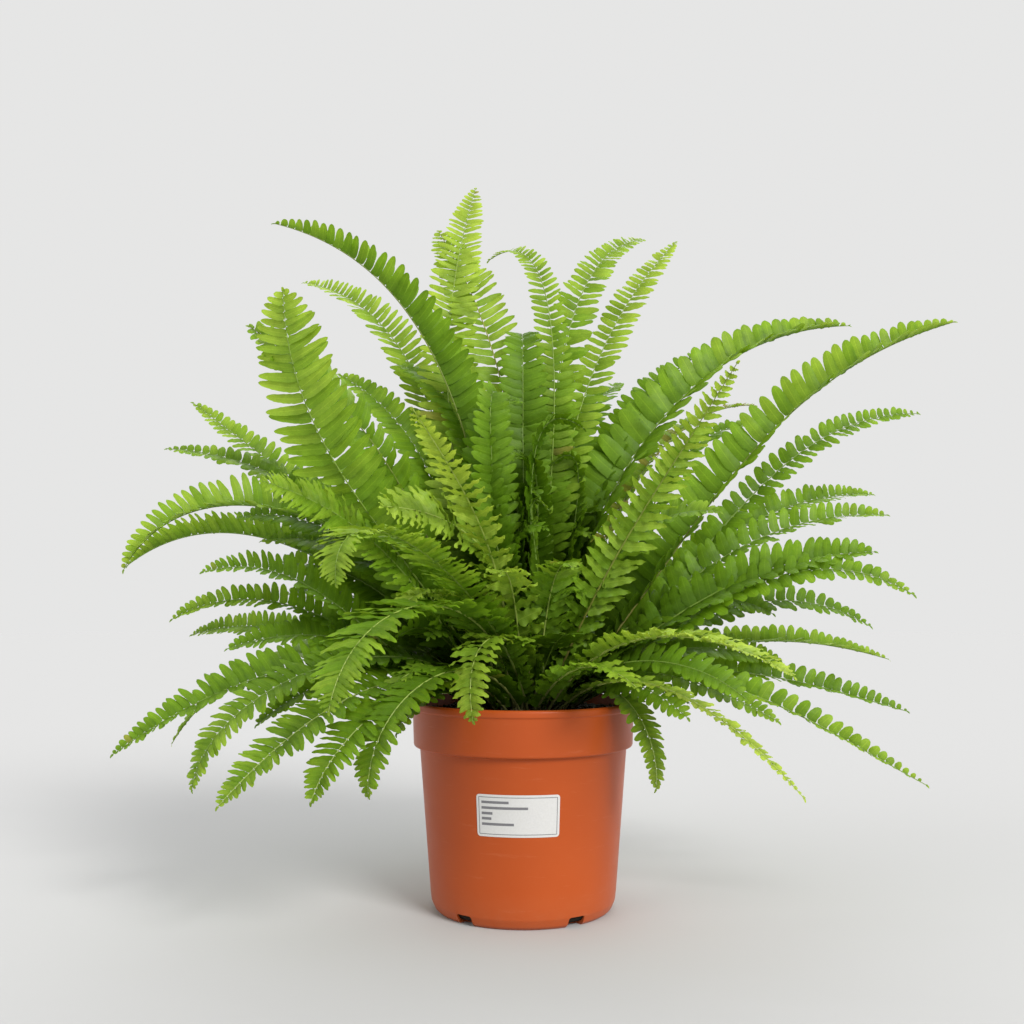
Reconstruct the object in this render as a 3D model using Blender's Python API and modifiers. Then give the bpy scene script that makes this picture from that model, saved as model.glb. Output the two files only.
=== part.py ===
"""A potted Boston fern: a tapered plastic nursery pot with a label, its soil, and arching pinnate fronds.

Metres, +Z up. The origin is on the pot's axis at the surface that it stands on, and the front faces -Y.
"""

import math
import random
from collections import namedtuple

import bmesh
import bpy
from mathutils import Matrix, Vector
from mathutils.bvhtree import BVHTree

MM = 0.001
SEED = 11
MERGE = 0.02 * MM
GAP = 0.3 * MM

# The pot. Its profiles are radius and height in millimetres: the inside from the floor's middle up to the
# rim, the outside from the rim down to the underside's middle.
ROUND_STEPS = 36
POT_OUTSIDE = (
    (93.6, 173.0), (95.0, 171.6), (95.0, 167.4), (93.9, 166.4), (92.9, 137.0), (92.2, 135.7),
    (87.7, 134.9), (78.2, 16.0), (77.3, 8.5), (74.6, 2.4), (71.8, 0.0), (0.0, 0.0),
)
POT_INSIDE = (
    (0.0, 2.5), (70.8, 2.5), (74.4, 6.0), (76.2, 15.0), (85.8, 133.0), (86.2, 136.4), (91.2, 137.7),
    (92.0, 173.0),
)
WALL_TOP, WALL_FOOT = POT_OUTSIDE[6], POT_OUTSIDE[7]
NOTCHES, FIRST_NOTCH = 5, -128.75
NOTCH_WIDTH, NOTCH_HEIGHT, NOTCH_INNER, NOTCH_OUTER = 15 * MM, 8.5 * MM, 64 * MM, 87 * MM

# The label, wrapped on the pot's front.
LABEL_WIDTH, LABEL_HEIGHT, LABEL_CORNER, LABEL_THICK = 66.5 * MM, 33 * MM, 2.6 * MM, 0.4 * MM
LABEL_MIDDLE, LABEL_TURN, LABEL_COLUMNS = 90.3 * MM, -93.4, 14
CORNER_COLUMNS = (0.5, 0.87, 1.0)

# The soil, 9 mm below the rim.
SOIL_TOP = 164 * MM
SOIL_OUTSIDE = (
    (0.0, 164.0), (91.2, 164.0), (90.6, 138.4), (85.7, 137.0), (85.3, 133.0), (75.7, 15.0), (73.9, 6.3),
    (70.6, 2.9), (0.0, 2.9),
)
HOLE_DEPTH, STALK_DEPTH = 24 * MM, 23 * MM

# The stalks stand in rings in the middle of the soil, the steepest fronds innermost.
RING_SEATS = (1, 6, 11, 16, 23)
RING_STEP = 9.6 * MM

# Stalk and midrib: half widths, and thicknesses from the soil to the tip.
STALK_HALF, RIB_HALF = 1.2 * MM, 0.7 * MM
STALK_THICK, RIB_THICK = 2.4 * MM, 1.4 * MM
STALK_BENDS = (0.33, 0.66)
UPRIGHT_RISE = 1.5 * MM

# The midrib's curve: its two handles as shares of the chord, and how finely it is measured.
LAUNCH_HANDLE, FALL_HANDLE = 0.42, 0.36
CURVE_SAMPLES = 60
# Both handles move sideways by this many times the bow, and the blade has turned fully at this share.
BOW_HANDLES, ROLLED_BY = 4 / 3, 0.5

# Leaflets: where they start on the stalk, their spacing, and how their length swells and dies away.
BLADE_THICK = 0.8 * MM
BARE_SHARE, BARE_MOST = 0.17, 60 * MM
PAIR_PITCH, FEWEST_PAIRS = 20.5 * MM, 6
LAST_SHARE = 0.3
FOOT_LENGTH, FOOT_SWELL = 0.7, 1.5
TIP_ROUND = 0.85
LEAN, TIP_LEAN = 14.0, 14.0
FOLD_CHANCE, LEAN_CHANCE = 5.0, 4.0

# How leaflets give way to their neighbours: a little more or less fold first, then less length. The room that
# each needs is a slab, tested at these shares of its half thickness.
CLEARANCE = 1.5 * MM
SHEETS = (1.0, 0.35, -0.35, -1.0)
SOIL_CLEARANCE = 3 * MM
FOLD_STEPS = (0, 14, -14, 28, -28, 42, -42, 56)
LENGTH_STEPS = (1.0, 0.8, 0.62, 0.45, 0.3)
LEAST_FOLD, MOST_FOLD = -50, 72

# Each material: its name, colour as linear light, and roughness.
POT_LOOK = ("terracotta plastic", (0.52, 0.10, 0.03), 0.4)
LABEL_LOOK = ("white label", (0.80, 0.80, 0.80), 0.5)
SOIL_LOOK = ("potting soil", (0.02, 0.015, 0.01), 0.9)
LEAF_LOOK = ("leaf green", (0.10, 0.30, 0.03), 0.5)

Frond = namedtuple("Frond", "direction reach height launch fall width fold roll sweep arch taper")

# Each frond's direction is in degrees, from +X towards +Y. Reach and height are its tip's, in millimetres
# from the axis and the table. Launch is the slope in degrees at which it leaves the soil, and fall the slope
# at which its tip descends. Width is its longest leaflet, fold how far its leaflets rise from flat, roll how
# far the blade turns about its midrib, sweep how far it bows to its left, arch how far its curve stands out,
# and taper how late its leaflets shorten towards the tip.
FRONDS = (
    Frond(114, 110, 653, 86, -70, 28, 15, -20, 48, 1.0, 5.5),
    Frond(130, 125, 610, 94, -50, 33, 15, -30, 0, 1.0, 6.0),
    Frond(112, 85, 576, 88, 14, 19, 20, -20, -25, 0.94, 3.8),
    Frond(49, 187, 615, 86, -14, 26, 15, 35, -4, 1.0, 3.2),
    Frond(35, 182, 602, 84, -42, 23, 12, 26, 0, 1.0, 5.0),
    Frond(-172, 214, 578, 83, -12, 33, 66, 0, 0, 0.97, 3.6),
    Frond(148, 255, 570, 74, -14, 28, 28, -32, 0, 0.995, 4.2),
    Frond(-152, 215, 502, 60, -88, 38, 10, 45, 0, 1.0, 9.0),
    Frond(-160, 235, 478, 66, -30, 36, 10, -50, 0, 1.0, 8.0),
    Frond(165, 320, 442, 52, -36, 26, 22, -34, 0, 1.0, 3.8),
    Frond(178, 312, 390, 60, -4, 24, 22, -34, 0, 1.0, 3.8),
    Frond(-168, 329, 282, 76, 64, 37, 44, -38, 0, 1.12, 2.4),
    Frond(168, 374, 289, 48, 36, 30, 60, 0, 0, 1.0, 3.8),
    Frond(-165, 267, 281, 27, 16, 24, 25, -40, 0, 1.0, 3.8),
    Frond(180, 302, 241, 31, 30, 21, 30, -40, 0, 1.0, 3.8),
    Frond(158, 345, 223, 14, 16, 23, 25, -40, 0, 1.0, 3.8),
    Frond(-165, 333, 138, 38, 36, 30, 30, -34, 0, 1.0, 2.1),
    Frond(172, 315, 130, 46, 60, 26, 20, -15, 0, 1.0, 3.8),
    Frond(-156, 276, 115, 66, 84, 31, 15, -20, 0, 1.0, 3.8),
    Frond(-143, 275, 112, 43, 44, 31, 15, -15, 0, 1.0, 3.4),
    Frond(-135, 219, 113, 54, 70, 28, 15, -15, 0, 1.0, 4.4),
    Frond(-127, 189, 117, 60, 94, 29, 15, 0, 0, 1.3, 4.4),
    Frond(-122, 252, 184, 82, 76, 36, 10, 0, 0, 1.25, 6.0),
    Frond(-150, 232, 350, 58, -14, 31, 10, -50, 0, 1.0, 7.0),
    Frond(-119, 262, 270, 72, 98, 28, 10, 0, 0, 1.0, 9.0),
    Frond(-132, 162, 330, 94, 2, 32, 10, -50, 0, 1.2, 8.0),
    Frond(-115, 192, 397, 84, -36, 22, 10, 0, 6, 1.0, 4.6),
    Frond(-97, 150, 278, 72, 15, 25, 15, 0, 0, 1.0, 3.8),
    Frond(-107, 132, 168, 80, 96, 25, 15, 0, -8, 1.9, 4.4),
    Frond(-128, 160, 248, 78, 42, 24, 15, 0, 0, 1.2, 3.8),
    Frond(-40, 210, 438, 64, -52, 30, 10, -35, 0, 1.0, 2.2),
    Frond(15, 320, 515, 81, -4, 40, 40, 40, 0, 1.0, 2.2),
    Frond(0, 377, 500, 51, -16, 36, 39, 41, 0, 1.0, 3.0),
    Frond(18, 407, 438, 37, -2, 18, 25, 50, 0, 1.0, 5.5),
    Frond(25, 390, 362, 42, 0, 23, 32, 40, 0, 1.0, 4.4),
    Frond(8, 333, 334, 47, 2, 23, 32, 40, 0, 1.0, 4.4),
    Frond(-8, 294, 298, 40, -2, 27, 28, 42, 0, 1.0, 5.0),
    Frond(-12, 321, 262, 40, 34, 23, 20, 40, 0, 1.0, 3.0),
    Frond(5, 308, 234, 42, 32, 22, 25, 42, 0, 1.0, 3.0),
    Frond(15, 354, 202, 26, 16, 21, 34, 20, 0, 1.0, 3.8),
    Frond(-48, 275, 207, 54, 26, 25, 20, 0, 0, 1.0, 3.8),
    Frond(8, 348, 158, 25, 16, 19, 38, 38, 0, 1.0, 3.8),
    Frond(-8, 331, 108, 33, 28, 20, 38, 36, 0, 1.0, 1.9),
    Frond(-42, 264, 120, 43, 44, 19, 15, 0, 0, 1.0, 1.3),
    Frond(-40, 134, 111, 64, 92, 20, 10, 0, 6, 1.4, 3.8),
    Frond(-62, 174, 195, 52, 28, 23, 15, 0, 0, 1.0, 3.8),
    Frond(-136, 148, 184, 56, 60, 23, 15, 0, 0, 1.0, 3.8),
    Frond(-72, 118, 284, 74, 20, 25, 15, 0, 0, 1.0, 3.8),
    Frond(39, 312, 457, 66, -4, 17, 30, 0, 0, 1.0, 3.8),
    Frond(72, 230, 450, 74, 5, 29, 15, 0, 0, 1.0, 3.8),
    Frond(98, 260, 400, 68, 18, 29, 15, 0, 0, 1.0, 3.8),
    Frond(122, 300, 330, 60, 24, 28, 15, 0, 0, 1.0, 3.8),
    Frond(58, 320, 300, 56, 24, 28, 15, 0, 0, 1.0, 3.8),
    Frond(88, 320, 230, 50, 40, 27, 15, 0, 0, 1.0, 3.8),
    Frond(132, 310, 190, 44, 46, 27, 15, 0, 0, 1.0, 3.8),
    Frond(42, 300, 175, 44, 50, 25, 15, 0, 0, 1.0, 3.8),
    Frond(108, 250, 130, 48, 65, 25, 15, 0, 0, 1.0, 3.8),
)


def clear_scene():
    for old in list(bpy.data.objects):
        bpy.data.objects.remove(old, do_unlink=True)


def new_collection(name):
    collection = bpy.data.collections.new(name)
    bpy.context.scene.collection.children.link(collection)
    return collection


def new_material(name, colour, roughness):
    material = bpy.data.materials.new(name)
    material.use_nodes = True
    shader = material.node_tree.nodes["Principled BSDF"]
    shader.inputs["Base Color"].default_value = (*colour, 1.0)
    shader.inputs["Roughness"].default_value = roughness
    return material


def new_object(name, mesh, material, collection):
    thing = bpy.data.objects.new(name, mesh)
    mesh.materials.append(material)
    collection.objects.link(thing)
    return thing


def on_circle(radius, degrees, height=0.0):
    turn = math.radians(degrees)
    return Vector((radius * math.cos(turn), radius * math.sin(turn), height))


def turned(name, profile, material, collection):
    """A round solid. The profile starts and ends on the axis and runs down its outer side."""
    mesh = bpy.data.meshes.new(name)
    points = [(radius * MM, 0.0, height * MM) for radius, height in profile]
    mesh.from_pydata(points, [(at, at + 1) for at in range(len(points) - 1)], [])
    thing = new_object(name, mesh, material, collection)
    screw = thing.modifiers.new("turn", "SCREW")
    screw.steps = screw.render_steps = ROUND_STEPS
    screw.use_merge_vertices = True
    screw.merge_threshold = MERGE
    return thing


def cutter(name, mesh, collection):
    thing = bpy.data.objects.new(name, mesh)
    collection.objects.link(thing)
    thing.hide_render = True
    thing.display_type = "WIRE"
    return thing


def box_mesh(name, boxes):
    """One mesh of separate boxes, each a centre, a size and a turn about Z in degrees."""
    shape = bmesh.new()
    for centre, size, turn in boxes:
        turned_by = Matrix.Rotation(math.radians(turn), 4, "Z")
        place = Matrix.Translation(centre) @ turned_by @ Matrix.Diagonal((*size, 1.0))
        bmesh.ops.create_cube(shape, size=1.0, matrix=place)
    mesh = bpy.data.meshes.new(name)
    shape.to_mesh(mesh)
    shape.free()
    return mesh


def subtract(thing, tool):
    cut = thing.modifiers.new("cut", "BOOLEAN")
    cut.operation = "DIFFERENCE"
    cut.object = tool


def make_pot(material, collection, cutters):
    pot = turned("pot", POT_INSIDE + POT_OUTSIDE, material, collection)
    middle = (NOTCH_INNER + NOTCH_OUTER) / 2
    size = (NOTCH_OUTER - NOTCH_INNER, NOTCH_WIDTH, 2 * NOTCH_HEIGHT)
    turns = [FIRST_NOTCH + 360 * at / NOTCHES for at in range(NOTCHES)]
    notches = box_mesh("drain_notches", [(on_circle(middle, turn), size, turn) for turn in turns])
    subtract(pot, cutter("drain_notches", notches, cutters))


def wall_radius(height):
    """The pot's outer radius on its tapered body."""
    share = (height / MM - WALL_FOOT[1]) / (WALL_TOP[1] - WALL_FOOT[1])
    return (WALL_FOOT[0] + (WALL_TOP[0] - WALL_FOOT[0]) * share) * MM


def label_rise(along):
    """Half the label's height at a place along its width, less near its rounded corners."""
    into_corner = max(0.0, abs(along) - (LABEL_WIDTH / 2 - LABEL_CORNER))
    return LABEL_HEIGHT / 2 - LABEL_CORNER + math.sqrt(max(0.0, LABEL_CORNER**2 - into_corner**2))


def label_columns():
    straight = LABEL_WIDTH / 2 - LABEL_CORNER
    corner = [straight + LABEL_CORNER * share for share in CORNER_COLUMNS]
    inner = [-straight + 2 * straight * at / LABEL_COLUMNS for at in range(LABEL_COLUMNS + 1)]
    return [-along for along in reversed(corner)] + inner + corner


def make_label(material, collection):
    shape = bmesh.new()
    columns = []
    for along in label_columns():
        turn = LABEL_TURN + math.degrees(along / wall_radius(LABEL_MIDDLE))
        ends = [LABEL_MIDDLE + side * label_rise(along) for side in (-1, 1)]
        columns.append([shape.verts.new(on_circle(wall_radius(end) + GAP, turn, end)) for end in ends])
    for left, right in zip(columns, columns[1:]):
        shape.faces.new((left[0], right[0], right[1], left[1]))
    mesh = bpy.data.meshes.new("label")
    shape.to_mesh(mesh)
    shape.free()
    label = new_object("label", mesh, material, collection)
    skin = label.modifiers.new("thickness", "SOLIDIFY")
    skin.thickness = LABEL_THICK
    skin.offset = 1.0


def steepness(frond):
    return frond.launch + math.degrees(math.atan2(frond.height * MM - SOIL_TOP, frond.reach * MM))


def ring_turn(directions):
    """The turn of a ring's even seats that suits its fronds' directions best."""
    step = 360 / len(directions)
    misses = [(direction - at * step + 180) % 360 - 180 for at, direction in enumerate(directions)]
    east = sum(math.cos(math.radians(miss)) for miss in misses)
    north = sum(math.sin(math.radians(miss)) for miss in misses)
    return math.degrees(math.atan2(north, east))


def seats():
    """Where each frond's stalk leaves the soil, in the order of FRONDS."""
    order = sorted(range(len(FRONDS)), key=lambda at: -steepness(FRONDS[at]))
    places = {}
    for ring, count in enumerate(RING_SEATS):
        members, order = order[:count], order[count:]
        members.sort(key=lambda at: FRONDS[at].direction % 360)
        turn = ring_turn([FRONDS[at].direction % 360 for at in members])
        for seat, at in enumerate(members):
            places[at] = on_circle(ring * RING_STEP, turn + 360 * seat / count, SOIL_TOP)
    return [places[at] for at in range(len(FRONDS))]


def blade_width(frond, share):
    """Leaflet length at a share of the blade: longest below the middle and least at the tip."""
    swell = min(1.0, FOOT_LENGTH + FOOT_SWELL * share)
    return frond.width * MM * swell * (1.0 - share**frond.taper) ** TIP_ROUND


class Midrib:
    """A frond's midrib: a cubic curve in the upright plane through its seat and tip, bowed by its sweep."""

    def __init__(self, frond, seat):
        self.frond = frond
        self.seat = seat
        self.tip = on_circle(frond.reach * MM, frond.direction, frond.height * MM)
        self.outward = Vector((self.tip.x - seat.x, self.tip.y - seat.y, 0.0)).normalized()
        self.side = Vector((-self.outward.y, self.outward.x, 0.0))
        self.handles = self.find_handles()
        self.walk = self.measure()
        self.length = self.walk[-1]
        self.bare = min(BARE_SHARE * self.length, BARE_MOST)
        self.pairs = max(FEWEST_PAIRS, round((self.length - self.bare) / PAIR_PITCH))

    def sloped(self, degrees):
        slope = math.radians(degrees)
        return self.outward * math.cos(slope) + Vector((0, 0, math.sin(slope)))

    def find_handles(self):
        chord = (self.tip - self.seat).length * self.frond.arch
        bow = self.side * self.frond.sweep * MM * BOW_HANDLES
        first = self.seat + self.sloped(self.frond.launch) * chord * LAUNCH_HANDLE + bow
        last = self.tip - self.sloped(-self.frond.fall) * chord * FALL_HANDLE + bow
        return first, last

    def at_time(self, time):
        first, last = self.handles
        left = 1 - time
        start = self.seat * left**3 + first * 3 * left**2 * time
        return start + last * 3 * left * time**2 + self.tip * time**3

    def measure(self):
        """How far along the curve each of its even steps in time has come."""
        walk, before = [0.0], self.seat
        for step in range(1, CURVE_SAMPLES + 1):
            now = self.at_time(step / CURVE_SAMPLES)
            walk.append(walk[-1] + (now - before).length)
            before = now
        return walk

    def point(self, distance):
        step = next((at for at in range(CURVE_SAMPLES) if self.walk[at + 1] >= distance), CURVE_SAMPLES - 1)
        span = self.walk[step + 1] - self.walk[step]
        return self.at_time((step + (distance - self.walk[step]) / span) / CURVE_SAMPLES)

    def frame(self, distance):
        """Forward, left and upper-face directions at a distance along the midrib."""
        step = self.length / CURVE_SAMPLES
        low, high = max(0.0, distance - step), min(self.length, distance + step)
        forward = (self.point(high) - self.point(low)).normalized()
        left = (self.side - forward * forward.dot(self.side)).normalized()
        roll = math.radians(self.frond.roll) * min(1.0, distance / (ROLLED_BY * self.length))
        left = Matrix.Rotation(roll, 3, forward) @ left
        return forward, left, forward.cross(left)

    def notches(self):
        """Distances of the notches between leaflets, from the lowest pair up to just short of the tip."""
        pitch = (self.length - self.bare) / (self.pairs + LAST_SHARE)
        return [self.bare + pitch * at for at in range(self.pairs + 1)]

    def share(self, distance):
        return (distance - self.bare) / (self.length - self.bare)

    def sections(self):
        """Middle, half width, thickness and frame of each cross-section, from the hole up to the tip."""
        up = Vector((0, 0, 1))
        upright = (up, self.side, up.cross(self.side))
        rises = (-STALK_DEPTH, UPRIGHT_RISE)
        rows = [(self.seat + up * rise, STALK_HALF, STALK_THICK, upright) for rise in rises]
        for distance in [self.bare * bend for bend in STALK_BENDS] + self.notches():
            share = distance / self.length
            half = STALK_HALF + (RIB_HALF - STALK_HALF) * share
            thick = STALK_THICK + (RIB_THICK - STALK_THICK) * share
            rows.append((self.point(distance), half, thick, self.frame(distance)))
        return rows


def limits(points):
    low = [min(point[axis] for point in points) for axis in range(3)]
    high = [max(point[axis] for point in points) for axis in range(3)]
    return low, high


def apart(one, other):
    (one_low, one_high), (other_low, other_high) = one, other
    return any(one_low[axis] > other_high[axis] or one_high[axis] < other_low[axis] for axis in range(3))


class Surroundings:
    """What a frond's leaflets have to stay clear of: the other fronds' midribs and leaflets."""

    def __init__(self):
        self.shapes = []

    def add(self, owner, points, faces):
        self.shapes.append((owner, limits(points), BVHTree.FromPolygons(points, faces)))

    def meets(self, owner, points, faces):
        reach = limits(points)
        tree = BVHTree.FromPolygons(points, faces)
        for other, room, shape in self.shapes:
            if other != owner and not apart(reach, room) and tree.overlap(shape):
                return True
        return False


def square_tube(sections, tip):
    """Points and faces of a midrib's four long sides."""
    points = []
    for middle, half, thick, (_, left, up) in sections:
        across, over = left * half, up * thick / 2
        points += [middle + across + over, middle - across + over]
        points += [middle - across - over, middle + across - over]
    (_, left, up) = sections[-1][3]
    points += [tip + left * RIB_HALF, tip + up * RIB_HALF, tip - left * RIB_HALF, tip - up * RIB_HALF]
    faces = []
    for row in range(len(sections)):
        for corner in range(4):
            here, beside = 4 * row + corner, 4 * row + (corner + 1) % 4
            faces.append((here, beside, beside + 4, here + 4))
    return points, faces


def slab(foot, top, end):
    """A slab of stacked sheets round a leaflet, as thick as the leaflet and the clearance that it needs."""
    outline = (foot, top, end)
    middle = (foot + top + end) / 3
    normal = (top - foot).cross(end - foot).normalized() * CLEARANCE
    wide = [point + (point - middle).normalized() * CLEARANCE / 2 for point in outline]
    points = [point + normal * sheet for sheet in SHEETS for point in wide]
    sheets = [(at, at + 1, at + 2) for at in range(0, len(points), 3)]
    last = len(points) - 3
    sides = [(at, (at + 1) % 3, (at + 1) % 3 + last, at + last) for at in range(3)]
    return points, sheets + sides


def touches_pot(point):
    """Whether a leaflet's end would be in the soil or the rim, or too near either."""
    radius = math.hypot(point.x, point.y)
    (inner, _), (outer, _), (_, rim) = POT_INSIDE[-1], POT_OUTSIDE[1], POT_OUTSIDE[0]
    if radius < inner * MM - 2 * CLEARANCE:
        return point.z < SOIL_TOP + SOIL_CLEARANCE
    return radius < outer * MM + 2 * CLEARANCE and point.z < rim * MM + 2 * CLEARANCE


def leaflet_end(foot, top, length, frame, side, fold, lean):
    """The point of a leaflet whose foot runs along the midrib's edge."""
    forward, left, up = frame
    rise = math.radians(fold)
    out = left * side * math.cos(rise) + up * math.sin(rise)
    return (foot + top) / 2 + (out + forward * math.tan(math.radians(lean))).normalized() * length


def fitted_end(owner, around, foot, top, length, frame, side, fold, lean):
    """The leaflet's point, folded further or nearer until it is clear of all that is around it."""
    for shorter in LENGTH_STEPS:
        for step in FOLD_STEPS:
            if not LEAST_FOLD <= fold + step <= MOST_FOLD:
                continue
            end = leaflet_end(foot, top, length * shorter, frame, side, fold + step, lean)
            if not touches_pot(end) and not around.meets(owner, *slab(foot, top, end)):
                return end
    return None


class FrondSurface:
    """A frond as an open surface of triangles, with how thick each of its points is to be."""

    def __init__(self, owner, rib, around, chance):
        self.owner, self.rib, self.around, self.chance = owner, rib, around, chance
        self.shape = bmesh.new()
        self.depths = []
        self.edges = self.add_midrib()
        for at, (low, high) in enumerate(zip(rib.notches(), rib.notches()[1:])):
            self.add_pair(len(self.edges) - 1 - rib.pairs + at, (low + high) / 2)

    def add(self, place, depth):
        self.depths.append(depth)
        return self.shape.verts.new(place)

    def add_midrib(self):
        edges = []
        for middle, half, thick, (_, left, _) in self.rib.sections():
            edges.append((self.add(middle + left * half, thick), self.add(middle - left * half, thick)))
        for (left, right), (next_left, next_right) in zip(edges, edges[1:]):
            self.shape.faces.new((left, right, next_right))
            self.shape.faces.new((left, next_right, next_left))
        self.shape.faces.new((*edges[-1], self.add(self.rib.tip, BLADE_THICK)))
        return edges

    def add_pair(self, row, distance):
        share = self.rib.share(distance)
        frame = self.rib.frame(distance)
        length = blade_width(self.rib.frond, share)
        for edge, side in ((0, 1), (1, -1)):
            foot, top = self.edges[row][edge], self.edges[row + 1][edge]
            fold = self.rib.frond.fold + self.chance.uniform(-FOLD_CHANCE, FOLD_CHANCE)
            lean = LEAN + TIP_LEAN * share + self.chance.uniform(-LEAN_CHANCE, LEAN_CHANCE)
            end = fitted_end(self.owner, self.around, foot.co, top.co, length, frame, side, fold, lean)
            if end is not None:
                corners = (foot, top, self.add(end, BLADE_THICK))
                self.shape.faces.new(corners if side > 0 else corners[::-1])
                self.around.add(self.owner, [corner.co.copy() for corner in corners], [(0, 1, 2)])


def make_frond(number, rib, around, chance, material, collection):
    name = f"frond_{number:02d}"
    surface = FrondSurface(number, rib, around, chance)
    mesh = bpy.data.meshes.new(name)
    surface.shape.to_mesh(mesh)
    surface.shape.free()
    frond = new_object(name, mesh, material, collection)
    group = frond.vertex_groups.new(name="depth")
    for at, depth in enumerate(surface.depths):
        group.add([at], depth / STALK_THICK, "REPLACE")
    skin = frond.modifiers.new("thickness", "SOLIDIFY")
    skin.thickness = STALK_THICK
    skin.offset = 0.0
    skin.vertex_group = group.name


def make_fronds(ribs, material, collection):
    around = Surroundings()
    for number, rib in enumerate(ribs, 1):
        around.add(number, *square_tube(rib.sections(), rib.tip))
    chance = random.Random(SEED)
    for number, rib in enumerate(ribs, 1):
        make_frond(number, rib, around, chance, material, collection)


def make_soil(ribs, material, collection, cutters):
    soil = turned("soil", SOIL_OUTSIDE, material, collection)
    width = STALK_THICK + 2 * GAP
    turns = [math.degrees(math.atan2(rib.outward.y, rib.outward.x)) for rib in ribs]
    holes = [(rib.seat, (width, width, 2 * HOLE_DEPTH), turn) for rib, turn in zip(ribs, turns)]
    subtract(soil, cutter("stalk_holes", box_mesh("stalk_holes", holes), cutters))


def main():
    clear_scene()
    parts = new_collection("Potted fern")
    cutters = new_collection("Cutters")
    ribs = [Midrib(frond, seat) for frond, seat in zip(FRONDS, seats())]
    make_pot(new_material(*POT_LOOK), parts, cutters)
    make_label(new_material(*LABEL_LOOK), parts)
    make_soil(ribs, new_material(*SOIL_LOOK), parts, cutters)
    make_fronds(ribs, new_material(*LEAF_LOOK), parts)


main()
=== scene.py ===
"""The finished look of the potted fern: fine fronds, pot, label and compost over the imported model."""

import math
import random
from collections import namedtuple

import bmesh
import bpy
import numpy as np
from mathutils import Matrix, Vector, noise


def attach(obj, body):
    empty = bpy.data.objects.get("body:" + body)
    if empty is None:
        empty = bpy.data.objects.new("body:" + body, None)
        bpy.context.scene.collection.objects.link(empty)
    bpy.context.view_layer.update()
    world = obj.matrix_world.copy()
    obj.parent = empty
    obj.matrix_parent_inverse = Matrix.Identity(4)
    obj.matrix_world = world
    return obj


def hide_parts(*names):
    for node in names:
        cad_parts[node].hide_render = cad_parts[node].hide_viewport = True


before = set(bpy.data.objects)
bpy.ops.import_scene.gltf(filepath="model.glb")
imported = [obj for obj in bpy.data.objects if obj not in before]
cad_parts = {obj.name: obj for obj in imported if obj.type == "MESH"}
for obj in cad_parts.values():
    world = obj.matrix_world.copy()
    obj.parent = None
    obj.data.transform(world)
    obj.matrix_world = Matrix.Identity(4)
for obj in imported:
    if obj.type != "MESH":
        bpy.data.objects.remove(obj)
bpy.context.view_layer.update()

MM = 0.001
FROND_SEED, CRUMB_SEED, INNER_SEED, YOUNG_SEED = 23, 24, 25, 26
UP = Vector((0, 0, 1))

# The pot: outer and inner profiles, radius and height in millimetres.
POT_OUTSIDE = (
    (93.6, 173.0), (95.0, 171.6), (95.0, 167.4), (93.9, 166.4), (92.9, 137.0), (92.2, 135.7),
    (87.7, 134.9), (78.2, 16.0), (77.3, 8.5), (74.6, 2.4), (71.8, 0.0), (0.0, 0.0),
)
POT_INSIDE = (
    (0.0, 2.5), (70.8, 2.5), (74.4, 6.0), (76.2, 15.0), (85.8, 133.0), (86.2, 136.4), (91.2, 137.7),
    (92.0, 173.0),
)
POT_TURNS = 192
# Its corners are cut back by this much, or by this share of the side, and rounded. Its wall is shaded as one
# surface where the faces meet at less than this angle.
CORNER_ROUND, CORNER_SHARE, CORNER_STEPS, SMOOTH_BELOW = 0.9, 0.42, 3, 32
WALL_TOP, WALL_FOOT = POT_OUTSIDE[6], POT_OUTSIDE[7]
NOTCHES, FIRST_NOTCH = 5, -128.75
NOTCH_WIDTH, NOTCH_HEIGHT, NOTCH_INNER, NOTCH_OUTER = 15 * MM, 8.5 * MM, 64 * MM, 87 * MM
NOTCH_ROUND, NOTCH_STEPS, NOTCH_SIDE_LEAST = 1.8 * MM, 4, 15 * MM

# The label on the pot's front.
LABEL_WIDTH, LABEL_HEIGHT, LABEL_CORNER, LABEL_THICK = 66.5 * MM, 33 * MM, 2.6 * MM, 0.25 * MM
LABEL_MIDDLE, LABEL_TURN = 90.3 * MM, -93.4
LABEL_LIFT = 0.3 * MM

# The compost, and the rings of seats in which the stalks stand.
SOIL_TOP, SOIL_RADIUS = 164 * MM, 91.6 * MM
STALK_DEPTH = 10 * MM
RING_SEATS = (1, 6, 11, 16, 23)
RING_STEP = 9.6 * MM

# Midrib curves, as in the solids. A frond reaches its full roll half way up.
LAUNCH_HANDLE, FALL_HANDLE, ROLL_SOON = 0.42, 0.36, 2.0
CURVE_SAMPLES = 60
BARE_SHARE, BARE_MOST = 0.17, 60 * MM
FOOT_LENGTH, FOOT_SWELL = 0.7, 1.5
TIP_ROUND = 0.66
LEAN, TIP_LEAN, CRISP_LEAN = 9.0, 6.0, 13.0

# A frond: its direction in degrees, its tip's reach and height in millimetres, the slopes at which it leaves
# the compost and falls at its tip, its leaflets' length and fold, its roll, its taper, its sideways sweep and
# its arch, how full its curve is. A higher taper keeps the leaflets long up to nearer the tip.
FROND_VALUES = "direction reach height launch fall width fold roll taper sweep arch"
Frond = namedtuple("Frond", FROND_VALUES, defaults=(3.8, 0, 1.0))

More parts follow.
